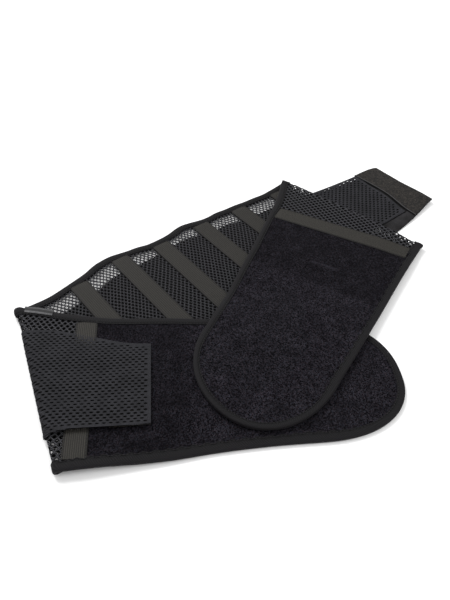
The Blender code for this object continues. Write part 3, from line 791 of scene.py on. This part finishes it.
def over_band(p):
    """Whether the elastic lies under a place of the back that shows."""
    return between_tapes(p) & (p[:, 1] > band_top(p[:, 0])) & (p[:, 1] < band_low(p[:, 0]))


def under_strip(p):
    """Whether a place of the back lies under a strip of the net that is folded over it."""
    over_s, over_t = lying_over(p[:, 0], p[:, 1])
    inside = (over_t > edge_top(over_s)) & (over_t < edge_low(over_s))
    inside &= np.abs(over_s) < SEAM_PLACE + STRIP_OVER_SEAM
    return (past_fold(p[:, 0], p[:, 1])[2] < STRIP_OVER_FOLD) & inside


# A cell of the net has one more point in the middle of each flank
flank_middles = ((0.5 * NET_PITCH, 0.0), (-0.5 * NET_PITCH, 0.0))
net_border = np.insert(six_sided(NET_PITCH, NET_ROW, NET_FLANK), (2, 5), flank_middles, axis=0)
back_hole = oval(2.95, 4.3, 0.64)
back_middle = oval(3.8, 5.1, 0.58)
net_cells = (
    (lambda p: past_fold_mm(p) > STRIP_FROM, oval(2.6, 3.6, 0.64), oval(3.9, 4.9, 0.60)),
    (
        lambda p: under_strip(p) & ((p[:, 0] > 0.0) | (p[:, 1] < LEFT_SHUT_TO)),
        oval(1.9, 2.8, 0.68), back_hole,
    ),
    (over_band, oval(2.1, 3.2, 0.66), back_middle),
    (between_tapes, back_hole, back_middle),
    (everywhere, back_hole, None),
)
net_limits = (
    lambda p: p[:, 1] - edge_top(p[:, 0]) - EDGE_INSIDE,
    lambda p: edge_low(p[:, 0]) - EDGE_INSIDE - p[:, 1],
    lambda p: SEAM_PLACE - TAPE_GAP - np.abs(p[:, 0]),
)
# Each piece of net, and where along the belt it starts and ends in the net's own mm
NET_CUTS = (
    ("net_left_strip", -300.0, -205.0),
    ("net_back_left", -205.0, 0.0),
    ("net_back_right", 0.0, 205.0),
    ("net_right_strip", 205.0, 300.0),
)
all_centres = staggered(NET_PITCH, NET_ROW, (-300.0, -10.0), (300.0, 240.0))
net_pieces = []
for name, first, last in NET_CUTS:
    mine = all_centres[(all_centres[:, 0] > first) & (all_centres[:, 0] <= last)]
    flat, faces, relief_and_painted_light = punched_cloth(name, mine, net_border, net_cells, net_warp, net_limits,
                                       NET_CLEAR, net_black)
    on_strip = smooth(past_fold_mm(flat) / STRIP_EASE)
    round_low = MESH_LOW + NET_THIN_LOW - STRIP_LOWER * on_strip + NET_RELIEF * (1.0 - relief_and_painted_light)
    round_high = MESH_HIGH - NET_THIN_HIGH - STRIP_THINNER * on_strip - NET_RELIEF * (1.0 - relief_and_painted_light)
    # Painted shade: the net's colour is darker where it lies over the elastic, and much darker under a strip
    # folded over it
    over_shade = np.where(over_band(flat), OVER_BAND_SHADE, 1.0)
    shaded = relief_and_painted_light * np.where(under_strip(flat), UNDER_STRIP_SHADE, over_shade)
    piece = thick_cloth(name, flat, faces, round_low, round_high, lay, net_black, shaded, 60.0, relief_and_painted_light)
    net_pieces.append((piece, flat))

# The slit elastic, its lattice in mm
SLIT_PITCH = 6.25
SLIT_ROW = 3.5
SLIT_FLANK = 1.55
SLIT_SHOULDER = 0.72
BAND_RELIEF = 0.0003
SLIT_CLEAR = 0.0028
PULL_STRETCH = 0.13
PULL_STRETCH_FROM = 0.2
RIGHT_PULL_FROM = 0.19
# In mm past the left fold
LEFT_PULL_FROM = -6.0
NET_SHADE_TO, NET_SHADE_EASE = -2.0, 4.0
# The seam of the hook patch bows towards the patch, and its foot bows back: how far, and from where
SEAM_BOW = 0.0024
SEAM_BOW_FROM, SEAM_BOW_LONG, SEAM_BOW_UPWARD = 0.050, 0.110, 0.8
SEAM_FOOT = 0.0040
SEAM_FOOT_FROM = (0.105, 0.045)
BAND_END_IN = 0.0024
BAND_END_IN_FROM = (0.062, 0.020)


def slit(wide, tall):
    a, b = 0.5 * wide, 0.5 * tall
    shoulder = SLIT_SHOULDER * b
    return np.array(((0.0, -b), (a, -shoulder), (a, shoulder), (0.0, b), (-a, shoulder), (-a, -shoulder)))


def band_warp(p):
    """The elastic's own mm to the flat belt: its right pull is stretched a little."""
    s, t = p[:, 0] * MM, p[:, 1] * MM
    return np.column_stack((s + PULL_STRETCH * np.maximum(0.0, s - PULL_STRETCH_FROM), t))


def seam_bow(t):
    """How far the seam of the hook patch bows towards the patch, at a place down the belt."""
    share = np.clip((t - SEAM_BOW_FROM) / SEAM_BOW_LONG, 0.0, 1.0)
    return SEAM_BOW * np.sin(math.pi * share**SEAM_BOW_UPWARD) ** 2 - SEAM_FOOT * ramp(t, *SEAM_FOOT_FROM)


def before_seam(p):
    end = PULL_SEAM_PLACE - BAND_END_IN * ramp(p[:, 1], *BAND_END_IN_FROM)
    return end + seam_bow(p[:, 1]) - p[:, 0]


band_flat, faces, relief_and_painted_light = punched_cloth(
    "tension_band", staggered(SLIT_PITCH, SLIT_ROW, (-350.0, 0.0), (300.0, 220.0)),
    np.array(six_sided(SLIT_PITCH, SLIT_ROW, SLIT_FLANK)),
    (
        (lambda p: (past_fold_mm(p) > LEFT_PULL_FROM) & (p[:, 0] < 0), slit(2.7, 1.4), slit(3.7, 2.3)),
        (lambda p: p[:, 0] > RIGHT_PULL_FROM, slit(2.3, 1.9), slit(3.1, 2.6)),
        (everywhere, slit(1.6, 0.8), None),
    ),
    band_warp,
    (
        lambda p: p[:, 1] - band_top(p[:, 0]),
        lambda p: band_low(p[:, 0]) - p[:, 1],
        lambda p: p[:, 0] - BAND_LEFT_END,
        before_seam,
    ),
    SLIT_CLEAR, elastic_charcoal,
)
# Between the folds the net's shade lies on the elastic's upper face
shade = ramp(past_fold_mm(band_flat), NET_SHADE_TO, NET_SHADE_EASE)
relief = BAND_RELIEF * (1.0 - relief_and_painted_light)
band_piece = thick_cloth("elastic_band", band_flat, faces, relief, BAND_THICK - relief, lay_band,
                         elastic_charcoal, relief_and_painted_light * shade, 60.0, relief_and_painted_light)

# The front panels
random = np.random.default_rng(17)
PILE_STEP = 0.0021
PILE_DEEP = 0.00035
PANEL_ROWS = 86
TIP_COLUMNS = 56
# The last column stops just short of the nose, which keeps its cells open
LAST_COLUMN = 0.9985
# The share of the pile's height that each loop has for itself. The rest is the same in bunches of 4 by 4
LOOP_SHARE = 0.65
BUNCH = 4
# Two painted highlights on the right panel, each a line of light along a crease: a short one, and one across
# it where the panel turns
MARKS_LIGHT = 0.8
SHORT_PLACE, SHORT_WIDE, SHORT_MIDDLE, SHORT_REACH = 0.344, 0.0012, 0.120, 0.017
TURN_LIGHT, TURN_PLACE, TURN_LEAN, TURN_WIDE = 0.14, 0.374, 0.055, 0.005


def tip_edges(side, over, inside):
    """Upper and lower edge of a round tip, at a distance past its start, both moved in."""
    top = edge_top(np.array(side * TIP_START)) + inside
    low = edge_low(np.array(side * TIP_START)) - inside
    nose = 0.5 * (top + low) + TIP_NOSE_DOWN
    share = np.minimum(1.0, over / (TIP_LENGTH - inside))
    above = (1.0 - share ** TIP_ROUNDING_UP[side]) ** (1.0 / TIP_ROUNDING_UP[side])
    below = (1.0 - share**TIP_ROUNDING_LOW) ** (1.0 / TIP_ROUNDING_LOW)
    return nose - (nose - top) * above, nose + (low - nose) * below


def painted_crease_highlights(s, t):
    short = np.exp(-(((s - SHORT_PLACE) / SHORT_WIDE) ** 2)) * (np.abs(t - SHORT_MIDDLE) < SHORT_REACH)
    return MARKS_LIGHT * (short + TURN_LIGHT * np.exp(-(((s - TURN_PLACE - TURN_LEAN * t) / TURN_WIDE) ** 2)))


def pile(shape):
    """The height of each loop of the pile, from none to one."""
    own = random.random(shape)
    bunches = random.random((shape[0] // BUNCH + 1, shape[1] // BUNCH + 1))
    bunches = np.kron(bunches, np.ones((BUNCH, BUNCH)))[: shape[0], : shape[1]]
    return LOOP_SHARE * own + (1.0 - LOOP_SHARE) * bunches


panels = {}
for side, name in ((-1.0, "left"), (1.0, "right")):
    straight = np.linspace(SEAM_PLACE + TAPE_GAP, TIP_START, int((TIP_START - SEAM_PLACE) / PILE_STEP))
    over = (TIP_LENGTH - EDGE_INSIDE) * np.sin(np.linspace(0.0, 0.5 * math.pi, TIP_COLUMNS)[1:])
    over[-1] = (TIP_LENGTH - EDGE_INSIDE) * LAST_COLUMN
    tip_top, tip_low = tip_edges(side, over, EDGE_INSIDE)
    s_rows = side * np.concatenate((straight, TIP_START + over))
    top = np.concatenate((edge_top(side * straight) + EDGE_INSIDE, tip_top))
    low = np.concatenate((edge_low(side * straight) - EDGE_INSIDE, tip_low))
    s = np.repeat(s_rows[:, None], PANEL_ROWS, axis=1)
    t = top[:, None] + (low - top)[:, None] * np.linspace(0.0, 1.0, PANEL_ROWS)[None, :]
    flat = np.column_stack((s.ravel(), t.ravel()))
    outer = PANEL_LOW - PILE_DEEP * (pile(s.shape).ravel() - 0.5)
    # Painted highlights along two creases of the right panel
    marks = painted_crease_highlights(flat[:, 0], flat[:, 1]) if side > 0 else np.zeros(len(flat))
    piece = thick_cloth(name + "_loop_panel", flat, grid_faces(*s.shape), outer, MESH_HIGH, lay, loop_cloth,
                        marks, 80.0)
    panels[name] = (piece, flat)

# The bindings
# Rows of the folded tape's section in mm: distance in from its edge, and height over its lower face
SECTION = np.array((
    (11.1, 0.30), (10.7, 0.08), (10.0, 0.12), (9.4, 0.50), (8.7, 0.10),
    (6.3, -0.06), (3.5, -0.05), (1.8, 0.10), (0.7, 0.50), (0.15, 1.15),
)) * MM
# Rows of distance in, and painted light: bright along the fold, dark in the groove of the stitches
SECTION_LIGHT = np.array((
    (0.0, 1.0), (2.2, 0.6), (8.2, 0.5), (8.8, 0.0), (9.9, 0.0), (10.5, 0.6), (12.0, 0.6),
)) * (MM, 1.0)
SECTION_LONG = 0.028
WALL_SHARE = 0.85
STITCH_IN = 0.0096
THREAD_SUNK = 0.0002
# Steps along the bindings. A fine one is taken from a little before a fold to a little past it
BACK_STEP, BACK_FINE_STEP, PANEL_STEP = 0.0034, 0.0008, 0.0032
FINE_BEFORE, FINE_PAST = 0.002, 0.003
TIP_WIDTH_EASE = 0.05
# How far a binding strays in and out and up and down, and over what length
UNEVEN, UNEVEN_LONG = 0.0003, 0.018
PUCKER, PUCKER_LONG = 0.00008, 0.008
STITCH_PUCKER = 0.00012
SCALLOP, SCALLOP_LONG = 0.0012, 0.0115
# At the left fold and at the right one, how far the binding of an edge stands up, and then out
FOLD_PUFF = {"top": (0.0009, 0.0), "low": (0.0, 0.0), "": (0.0, 0.0)}
FOLD_EAR = {"top": (0.0026, 0.0016), "low": (0.0, 0.0012), "": (0.0, 0.0)}
FOLD_EAR_WIDE = 0.007
FOLD_PUFF_RISES = 0.005
# The flat width of a binding is twice the width that it covers, and its turn round the edge
# Widths as shares of BINDING_WIDE: of the back's bindings, and of each panel's at its top, tip and low edge
EDGE_WIDTH = {"top": 0.82, "low": 0.92}
PANEL_WIDTH = {"left": (0.82, 0.70, 0.90), "right": (0.72, 0.60, 0.72)}


def binding_profile(low, high):
    """Folded tape in section: its outside from under to over, and its inside. Distance in, and height."""
    under = low - BINDING_GAP - BINDING_THICK
    over = high + BINDING_GAP + BINDING_THICK
    half = 0.5 * (over - under)
    turned = np.column_stack((SECTION[::-1, 0], 2.0 * half - SECTION[::-1, 1]))
    outside = np.concatenate((SECTION, ((0.0, half),), turned))
    outside[:, 1] += under
    run = np.gradient(outside, axis=0)
    normal = np.column_stack((-run[:, 1], run[:, 0]))
    normal /= np.linalg.norm(normal, axis=1)[:, None]
    centre = np.array((BINDING_WIDE, 0.5 * (under + over)))
    facing = np.sign(np.einsum("ij,ij->i", normal, centre - outside))
    return outside, outside + normal * facing[:, None] * WALL_SHARE * BINDING_THICK


def run_along(line):
    return np.concatenate(((0.0,), np.cumsum(np.linalg.norm(np.diff(line, axis=0), axis=1))))


def resample(line, step):
    run = run_along(line)
    at = np.linspace(0.0, run[-1], max(3, int(run[-1] / step)))
    return np.column_stack([np.interp(at, run, line[:, k]) for k in range(line.shape[1])])


def near_fold_steps(line, step, fine):
    """A line resampled at a step, and at a fine one where it goes round a fold."""
    dense = resample(line, fine)
    beyond = past_fold(dense[:, 0], dense[:, 1])[2]
    bend = (beyond > -FINE_BEFORE) & (beyond < FOLD_LONG + FINE_PAST)
    keep = bend | (np.arange(len(dense)) % int(round(step / fine)) == 0)
    keep[0] = keep[-1] = True
    return dense[keep]


def inward_of(line, turn):
    run = np.gradient(line, axis=0)
    run /= np.linalg.norm(run, axis=1)[:, None]
    return turn * np.column_stack((-run[:, 1], run[:, 0]))


def wander(run, size, long):
    """A slow random drift along a line."""
    knots = max(4, int(run[-1] / long))
    drift = random.normal(0.0, size, knots)
    return np.interp(np.linspace(0.0, 1.0, len(run)), np.linspace(0.0, 1.0, knots), drift)


def bind(name, line, inward, low, high, width, scallop, edge):
    """A folded tape along an edge, of a width at each point, uneven, and pulled in by its stitches."""
    outside, inside = binding_profile(low, high)
    section = np.concatenate((outside, inside[::-1]))
    relief_and_painted_light = np.interp(section[:, 0], SECTION_LIGHT[:, 0], SECTION_LIGHT[:, 1])
    count, wide = len(line), len(section)
    run = run_along(line)
    uneven = wander(run, UNEVEN, UNEVEN_LONG)
    pucker = STITCH_PUCKER * np.sin(run * math.pi / STITCH_STEP) + wander(run, PUCKER, PUCKER_LONG)
    at_left = line[:, 0] < 0.0
    beyond = past_fold(line[:, 0], line[:, 1])[2]
    on_fold = np.exp(-(((beyond - 0.5 * FOLD_LONG) / FOLD_EAR_WIDE) ** 2))
    pucker = pucker + np.where(at_left, *FOLD_PUFF[edge]) * on_fold * smooth(beyond / FOLD_PUFF_RISES)
    ear = np.where(at_left, *FOLD_EAR[edge]) * on_fold
    share = section[None, :, 0] / BINDING_WIDE
    uneven = uneven + SCALLOP * scallop * np.sin(run * 2.0 * math.pi / SCALLOP_LONG)
    d = section[None, :, 0] * width[:, None] + uneven[:, None] * share - ear[:, None] * (1.0 - share)
    facing = np.sign(section[None, :, 1] - 0.5 * (low + high))
    h = section[None, :, 1] + pucker[:, None] * facing * np.sin(math.pi * np.clip(share, 0.0, 1.0))
    s = line[:, None, 0] + inward[:, None, 0] * d
    t = line[:, None, 1] + inward[:, None, 1] * d
    faces = []
    for i in range(count - 1):
        for j in range(wide):
            k = (j + 1) % wide
            faces.append((i * wide + j, i * wide + k, (i + 1) * wide + k, (i + 1) * wide + j))
    m = len(outside)
    for start, way in ((0, 1), ((count - 1) * wide, -1)):
        for j in range(m - 1):
            quad = (start + j, start + wide - 1 - j, start + wide - 2 - j, start + j + 1)
            faces.append(quad[::way])
    around = np.concatenate((np.linspace(0.0, SECTION_LONG, m), np.linspace(SECTION_LONG, 0.0, m)))
    pattern = np.column_stack((np.repeat(run, wide), np.tile(around, count)))
    points = lay(s, t, h).reshape(-1, 3)
    return new_piece(name, points, faces, binding_black, pattern, np.tile(relief_and_painted_light, count), 50.0)


bindings, seams = {}, {}


def bind_edge(name, line, turn, low, width, scallop, edge=""):
    """A binding and its two rows of stitches."""
    inward = inward_of(line, turn)
    piece = bind(name + "_binding_tape", line, inward, low, MESH_HIGH, width, scallop, edge)
    bindings[name] = (piece, line, float(width.mean()))
    row = line + inward * np.reshape(STITCH_IN * width, (-1, 1))
    under = low - BINDING_GAP - BINDING_THICK + THREAD_SUNK
    over = MESH_HIGH + BINDING_GAP + BINDING_THICK - THREAD_SUNK
    seams[name] = [lay(row[:, 0], row[:, 1], h) for h in (under, over)]


back_span = np.linspace(-SEAM_PLACE, SEAM_PLACE, 1200)
for name, at_edge, edge, turn in (("back_top", edge_top, "top", 1.0), ("back_lower", edge_low, "low", -1.0)):
    line = near_fold_steps(np.column_stack((back_span, at_edge(back_span))), BACK_STEP, BACK_FINE_STEP)
    width = np.full(len(line), EDGE_WIDTH[edge])
    bind_edge(name, line, turn, MESH_LOW, width, np.full(len(line), float(turn < 0.0)), edge)
for side, name in ((-1.0, "left"), (1.0, "right")):
    straight = side * np.linspace(SEAM_PLACE, TIP_START, 400)
    round_tip = TIP_LENGTH * np.sin(np.linspace(0.0, 0.5 * math.pi, 300))
    tip_top, tip_low = tip_edges(side, round_tip, 0.0)
    line = resample(np.concatenate((
        np.column_stack((straight, edge_top(straight))),
        np.column_stack((side * (TIP_START + round_tip), tip_top))[1:],
        np.column_stack((side * (TIP_START + round_tip), tip_low))[::-1][1:],
        np.column_stack((straight, edge_low(straight)))[::-1][1:],
    )), PANEL_STEP)
    on_tip = ramp(np.abs(line[:, 0]), TIP_START, TIP_WIDTH_EASE)
    lower = np.cumsum(np.abs(line[:, 0]) > 0.9995 * np.abs(line[:, 0]).max()) > 0
    top_width, tip_width, low_width = PANEL_WIDTH[name]
    straight_width = np.where(lower, low_width, top_width)
    width = straight_width + (tip_width - straight_width) * on_tip
    bind_edge(name + "_panel", line, side, PANEL_LOW, width, lower * (1.0 - on_tip))

# The ribbed tapes
SEAM_RIBS = 12
STAY_RIBS = 10
RIB_HIGH = 0.00038
RIB_POINTS = 4
TAPE_STEP = 0.0045
SELVEDGE_LOWER = 0.00035
SELVEDGE_FROM = (0.40, 0.08)
END_LOWER = 0.0005
END_LONG = 0.004
# A tape starts under the upper binding and ends over the lower one
TAPE_UNDER_TOP = 0.0093
TAPE_OVER_LOW = 0.0101
ROW_IN = 0.0013
ROW_POINTS = 60
STAY_THREAD_SUNK = 0.0004
# The crease of the third tape
CREASE_HIGH, CREASE_WIDE = 0.0007, 0.0013
CREASE_PLACE, CREASE_LEAN = (-0.0074, 0.1262), 0.22
CREASE_FROM = (-0.0190, 0.006)


def ribbed(name, ribs, centre, from_h, to_h, sunk, crease=None):
    """A ribbed tape down the belt, its length and its two rows of stitches. Its ribs stand up to to_h."""
    top = float(edge_top(np.array(centre))) + TAPE_UNDER_TOP
    low = float(edge_low(np.array(centre))) - TAPE_OVER_LOW
    across = np.linspace(-0.5, 0.5, ribs * RIB_POINTS + 1)
    down = np.linspace(0.0, 1.0, max(3, int((low - top) / TAPE_STEP)))
    s = centre + TAPE_WIDE * across[None, :] + 0.0 * down[:, None]
    t = top + (low - top) * down[:, None] + 0.0 * across[None, :]
    rib = np.abs(np.sin(math.pi * ribs * (across + 0.5)))
    inner = 1.0 - ramp(np.abs(across), *SELVEDGE_FROM)
    up = np.sign(to_h - from_h)
    high = to_h - up * (RIB_HIGH * (1.0 - rib) + SELVEDGE_LOWER * (1.0 - inner))
    to_end = np.minimum(down, 1.0 - down) * (low - top)
    high = high[None, :] - up * END_LOWER * (1.0 - smooth(to_end / END_LONG))[:, None]
    if crease is not None:
        high = high + up * crease(s, t)
    flat = np.column_stack((s.ravel(), t.ravel()))
    # Painted shade: darker in the valleys between the ribs and along the stitched edges. The stay tapes are
    # darker throughout
    relief_and_painted_light = np.tile((0.70 if up > 0.0 else 1.0) * rib * (0.35 + 0.65 * inner), len(down))
    base = np.full(s.size, from_h)
    piece = thick_cloth(name, flat, grid_faces(*s.shape), base, high.ravel(), lay, tape_grey, relief_and_painted_light, 70.0)
    rows = []
    for way in (-1.0, 1.0):
        beside = np.full(ROW_POINTS, centre + way * (0.5 * TAPE_WIDE - ROW_IN))
        rows.append(lay(beside, np.linspace(top, low, ROW_POINTS), to_h - up * sunk))
    return piece, low - top, rows


def tape_crease(s, t):
    """The small fold where the third tape goes under the left panel."""
    line = CREASE_PLACE[1] + CREASE_LEAN * (s - CREASE_PLACE[0])
    return CREASE_HIGH * np.exp(-(((t - line) / CREASE_WIDE) ** 2)) * ramp(s, *CREASE_FROM)


tapes = {}
seams["stay_tape"] = []
for number, share in enumerate(STAYS, 1):
    crease = tape_crease if number == 3 else None
    piece, long, rows = ribbed(f"stay_tape_{number}_ribs", STAY_RIBS, share * BELT_HALF, MESH_HIGH + TAPE_GAP,
                               MESH_HIGH + TAPE_GAP + TAPE_THICK, STAY_THREAD_SUNK, crease)
    tapes[f"stay_tape_{number}"] = (piece, long)
    seams["stay_tape"] += rows
for side, name in ((-1.0, "left_seam"), (1.0, "right_seam")):
    under = PANEL_LOW - TAPE_GAP
    piece, long, rows = ribbed(name + "_tape_ribs", SEAM_RIBS, side * SEAM_PLACE, under,
                               under - SEAM_TAPE_THICK, THREAD_SUNK)
    tapes[name + "_tape"] = (piece, long)
    seams[name] = rows

# The pulls
BACKING_FROM = (0.2194, 0.2366)
BACKING_INSIDE = 0.0055
ON_BACKING = BACKING_THICK + TAPE_GAP
SEAM_AFTER = PULL_SEAM_PLACE + 2.0 * TAPE_GAP + 0.0004
PATCH_FROM = SEAM_AFTER + PIPING_WIDE + TAPE_GAP
PATCH_TOP = ON_BACKING + HOOK_THICK
UNDER_BAND_SHADE = 0.1
PATCH_SEWN_DOWN = 0.0004
PATCH_SEWN_WIDE = 0.0016
PIPING_ROUND = 0.0012
PIPING_LIGHT = 0.42


def strip_cloth(name, first, last, count, edges, heights, place, material, wide,
                bump=None, relief_and_painted_light=None, sharp=50.0):
    """A plain cloth, from one cut across the belt to another. edges give its upper and lower edge."""
    steps = np.arange(count)
    s_top = first[0] + (last[0] - first[0]) * steps / (count - 1)
    s_low = first[1] + (last[1] - first[1]) * steps / (count - 1)
    shares = np.linspace(0.0, 1.0, wide)
    s = s_top[:, None] + (s_low - s_top)[:, None] * shares[None, :]
    top, bottom = edges[0](s_top), edges[1](s_low)
    t = top[:, None] + (bottom - top)[:, None] * shares[None, :]
    flat = np.column_stack((s.ravel(), t.ravel()))
    high = np.full(s.size, heights[1]) + (0.0 if bump is None else bump(flat[:, 0], flat[:, 1]))
    relief_and_painted_light = None if relief_and_painted_light is None else relief_and_painted_light(flat[:, 0], flat[:, 1])
    low = np.full(s.size, heights[0])
    return thick_cloth(name, flat, grid_faces(*s.shape), low, high, place, material, relief_and_painted_light, sharp), flat


def backing_top(s):
    """Before the seam the backing starts inside the elastic's upper edge, so the floor shows through it."""
    return np.where(s < PULL_SEAM_PLACE, np.maximum(band_top(s) + BACKING_INSIDE, hook_top(s)), hook_top(s))


def shaded_backing(s, t):
    """The backing lies in shade under the elastic."""
    under = (s < PULL_SEAM_PLACE + 0.001 + seam_bow(t)) & (t < band_low(s) + 0.0012)
    return np.where(under, UNDER_BAND_SHADE, 1.0)


def lay_patch(s, t, h):
    """Places on the pull, moved with its bowed seam. The bow dies out at the pull's end."""
    bow = seam_bow(t) * np.clip((PULL_END_PLACE - s) / (PULL_END_PLACE - PATCH_FROM), 0.0, 1.0)
    return lay_pull(s + bow, t, h)


def patch_edge(s, t):
    """The patch is pressed down along its edges, where it is sewn."""
    gap = np.minimum.reduce((s - PATCH_FROM, PULL_END_PLACE - s, t - hook_top(s), backing_low(s) - t))
    return -PATCH_SEWN_DOWN * (1.0 - smooth(gap / PATCH_SEWN_WIDE))


def across_piping(s):
    """From minus one to one across the piping."""
    return (s - SEAM_AFTER) / PIPING_WIDE * 2.0 - 1.0


def piping_round(s, t):
    return -PIPING_ROUND * (1.0 - np.sqrt(np.maximum(0.0, 1.0 - (0.98 * across_piping(s)) ** 2)))


def piping_light(s, t):
    """The piping shines along its back."""
    return PIPING_LIGHT * np.maximum(0.0, 1.0 - 1.3 * np.abs(across_piping(s)))


backing_piece, backing_flat = strip_cloth(
    "pull_backing_cloth", BACKING_FROM, (PULL_END_PLACE, PULL_END_PLACE), 90, (backing_top, backing_low),
    (0.0, BACKING_THICK), lay_pull, tricot_black, 90, relief_and_painted_light=shaded_backing,
)
patch_piece, patch_flat = strip_cloth(
    "right_hook_patch_cloth", (PATCH_FROM, PATCH_FROM), (PULL_END_PLACE, PULL_END_PLACE), 36,
    (hook_top, backing_low), (ON_BACKING, PATCH_TOP), lay_patch, hook_black, 70, patch_edge,
)
piping_piece, _ = strip_cloth(
    "piped_seam", (SEAM_AFTER, SEAM_AFTER), (SEAM_AFTER + PIPING_WIDE, SEAM_AFTER + PIPING_WIDE), 9,
    (hook_top, backing_low), (ON_BACKING, ON_BACKING + PIPING_TALL), lay_patch, satin_grey, 60,
    piping_round, piping_light, 80.0,
)
left_patch_piece, left_patch_flat = strip_cloth(
    "left_hook_patch_cloth", (BAND_LEFT_END, BAND_LEFT_END), (BAND_LEFT_END + LEFT_HOOK_LONG,) * 2, 14,
    (band_top, band_low), (BAND_THICK + TAPE_GAP, BAND_THICK + TAPE_GAP + LEFT_HOOK_THICK), lay_band,
    hook_black, 30,
)

# The blank label. It lies over the folded binding beside the left fold, a little past its edge
LABEL_FROM = -0.2085
LABEL_TO = -0.2390
LABEL_ACROSS = (-0.0018, 0.0072)
LABEL_STEPS = (34, 19)
# How far its outer edge is pulled along at its start and at its end, and how far it curls up
LABEL_PULLED = (0.0022, 0.0012)
LABEL_CURL = 0.0006
LABEL_WAVE = 0.0004
label_high = MESH_LOW - BINDING_GAP - BINDING_THICK - TAPE_GAP
long = np.linspace(0.0, 1.0, LABEL_STEPS[0])[:, None]
across = np.linspace(0.0, 1.0, LABEL_STEPS[1])[None, :]
label_line = np.linspace(LABEL_FROM, LABEL_TO, LABEL_STEPS[0])
label_edge = np.column_stack((label_line, edge_top(label_line)))
label_inward = inward_of(label_edge, -1.0)
reach = LABEL_ACROSS[0] + (LABEL_ACROSS[1] - LABEL_ACROSS[0]) * across
s = label_edge[:, :1] + label_inward[:, :1] * reach
t = label_edge[:, 1:] + label_inward[:, 1:] * reach
s = s + (LABEL_PULLED[0] * (1.0 - long) + LABEL_PULLED[1] * long) * (1.0 - across)
curl = LABEL_CURL * np.sin(math.pi * long) ** 2 * (1.0 - across) ** 2
curl = (curl + LABEL_WAVE * np.sin(2.0 * math.pi * across) ** 2).ravel()
flat = np.column_stack((s.ravel(), t.ravel()))
# Two painted highlights, bright streaks of light on the satin, over its dark ground
inner_highlight = 0.85 * (1.0 - 0.5 * long) * np.exp(-(((across - 0.82) / 0.15) ** 2))
outer_highlight = 0.45 * np.exp(-(((across - 0.18) / 0.13) ** 2))
satin_highlights = (0.05 + inner_highlight + outer_highlight).ravel()
label_piece = thick_cloth("satin_care_label", flat, grid_faces(*s.shape), label_high - LABEL_THICK - curl,
                          label_high - curl, lay, satin_grey, satin_highlights, 60.0)

# The stitches
PATCH_ROW_IN = 0.0014
across_patch = np.linspace(PATCH_FROM + 0.0013, PULL_END_PLACE - 0.0015, 30)
down_patch = np.linspace(0.0, 1.0, 40)
seams["hook_patch"] = []
for at in (across_patch[0], across_patch[-1]):
    at = np.full(40, at)
    down = hook_top(at) + 0.001 + (backing_low(at) - hook_top(at) - 0.002) * down_patch
    seams["hook_patch"].append(lay_pull(at, down, PATCH_TOP - THREAD_SUNK))
for down in (hook_top(across_patch) + PATCH_ROW_IN, backing_low(across_patch) - PATCH_ROW_IN):
    seams["hook_patch"].append(lay_pull(across_patch, down, PATCH_TOP - THREAD_SUNK))
SEEDS = {
    "back_top": 3, "back_lower": 5, "left_panel": 7, "right_panel": 11, "stay_tape": 13, "left_seam": 17,
    "right_seam": 19, "hook_patch": 23,
}
sewn = {name: stitches(name + "_stitches", seams[name], seed) for name, seed in SEEDS.items()}


def span(flat_points):
    """Height of a piece of the flat belt, and its length along the belt."""
    size = flat_points.max(axis=0) - flat_points.min(axis=0)
    return float(size[1]), float(size[0])


def between_edges(top, low, first, last):
    """Flat area between two edges of the belt."""
    s = np.linspace(first, last, 400)
    return float((low(s) - top(s)).mean() * (last - first))


def dress(piece, nodes):
    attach(piece, "root")
    if nodes:
        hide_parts(*nodes)


for piece, flat in net_pieces:
    dress(piece, ["back_mesh"])
    tall, long = span(flat)
dress(band_piece, ["tension_band"])
between_edges(band_top, band_low, BAND_LEFT_END, PULL_SEAM_PLACE)
for name, (piece, flat) in panels.items():
    dress(piece, [name + "_front_panel"])
    tall, long = span(flat)
for name, (piece, line, width) in bindings.items():
    dress(piece, [name + "_binding"])
    run = float(np.linalg.norm(np.diff(line, axis=0), axis=1).sum())
for name, (piece, run) in tapes.items():
    dress(piece, [name])
for piece, flat, node, slot, on_it in (
    (backing_piece, backing_flat, "pull_backing", "binding_tape", []),
    (patch_piece, patch_flat, "right_hook_patch", "hook_tape", [piping_piece, sewn["hook_patch"]]),
    (left_patch_piece, left_patch_flat, "left_hook_patch", "hook_tape", []),
):
    dress(piece, [node])
dress(piping_piece, ["hook_patch_piping"])
dress(label_piece, ["care_label"])
for piece in sewn.values():
    dress(piece, [])

# Floor and light
FLOOR_HALF = 6.0
FLOOR_DOWN = 0.0003
corners = [(x * FLOOR_HALF, y * FLOOR_HALF, -FLOOR_DOWN) for x, y in ((-1, -1), (1, -1), (1, 1), (-1, 1))]
floor_mesh = bpy.data.meshes.new("floor")
floor_mesh.from_pydata(corners, [], [(0, 1, 2, 3)])
floor_mesh.materials.append(paper_white)
floor = link("floor", floor_mesh)

world = bpy.data.worlds.new("studio")
world.use_nodes = True
world.node_tree.nodes["Background"].inputs["Color"].default_value = to_linear("#ffffff")
world.node_tree.nodes["Background"].inputs["Strength"].default_value = 0.75
bpy.context.scene.world = world


def soft_light(name, place, size, power):
    """A round light that shines on the belt."""
    data = bpy.data.lights.new(name, "AREA")
    data.shape = "DISK"
    data.size = size
    data.energy = power
    lamp = link(name, data)
    x, y, z = place
    lamp.location = place
    lamp.rotation_euler = (math.atan2(math.hypot(x, y), z), 0.0, math.atan2(x, -y))


soft_light("key", (-0.9, 0.9, 1.6), 1.0, 30.0)
soft_light("fill", (0.9, -0.6, 1.5), 1.4, 10.0)
bpy.context.scene.view_settings.view_transform = "Standard"
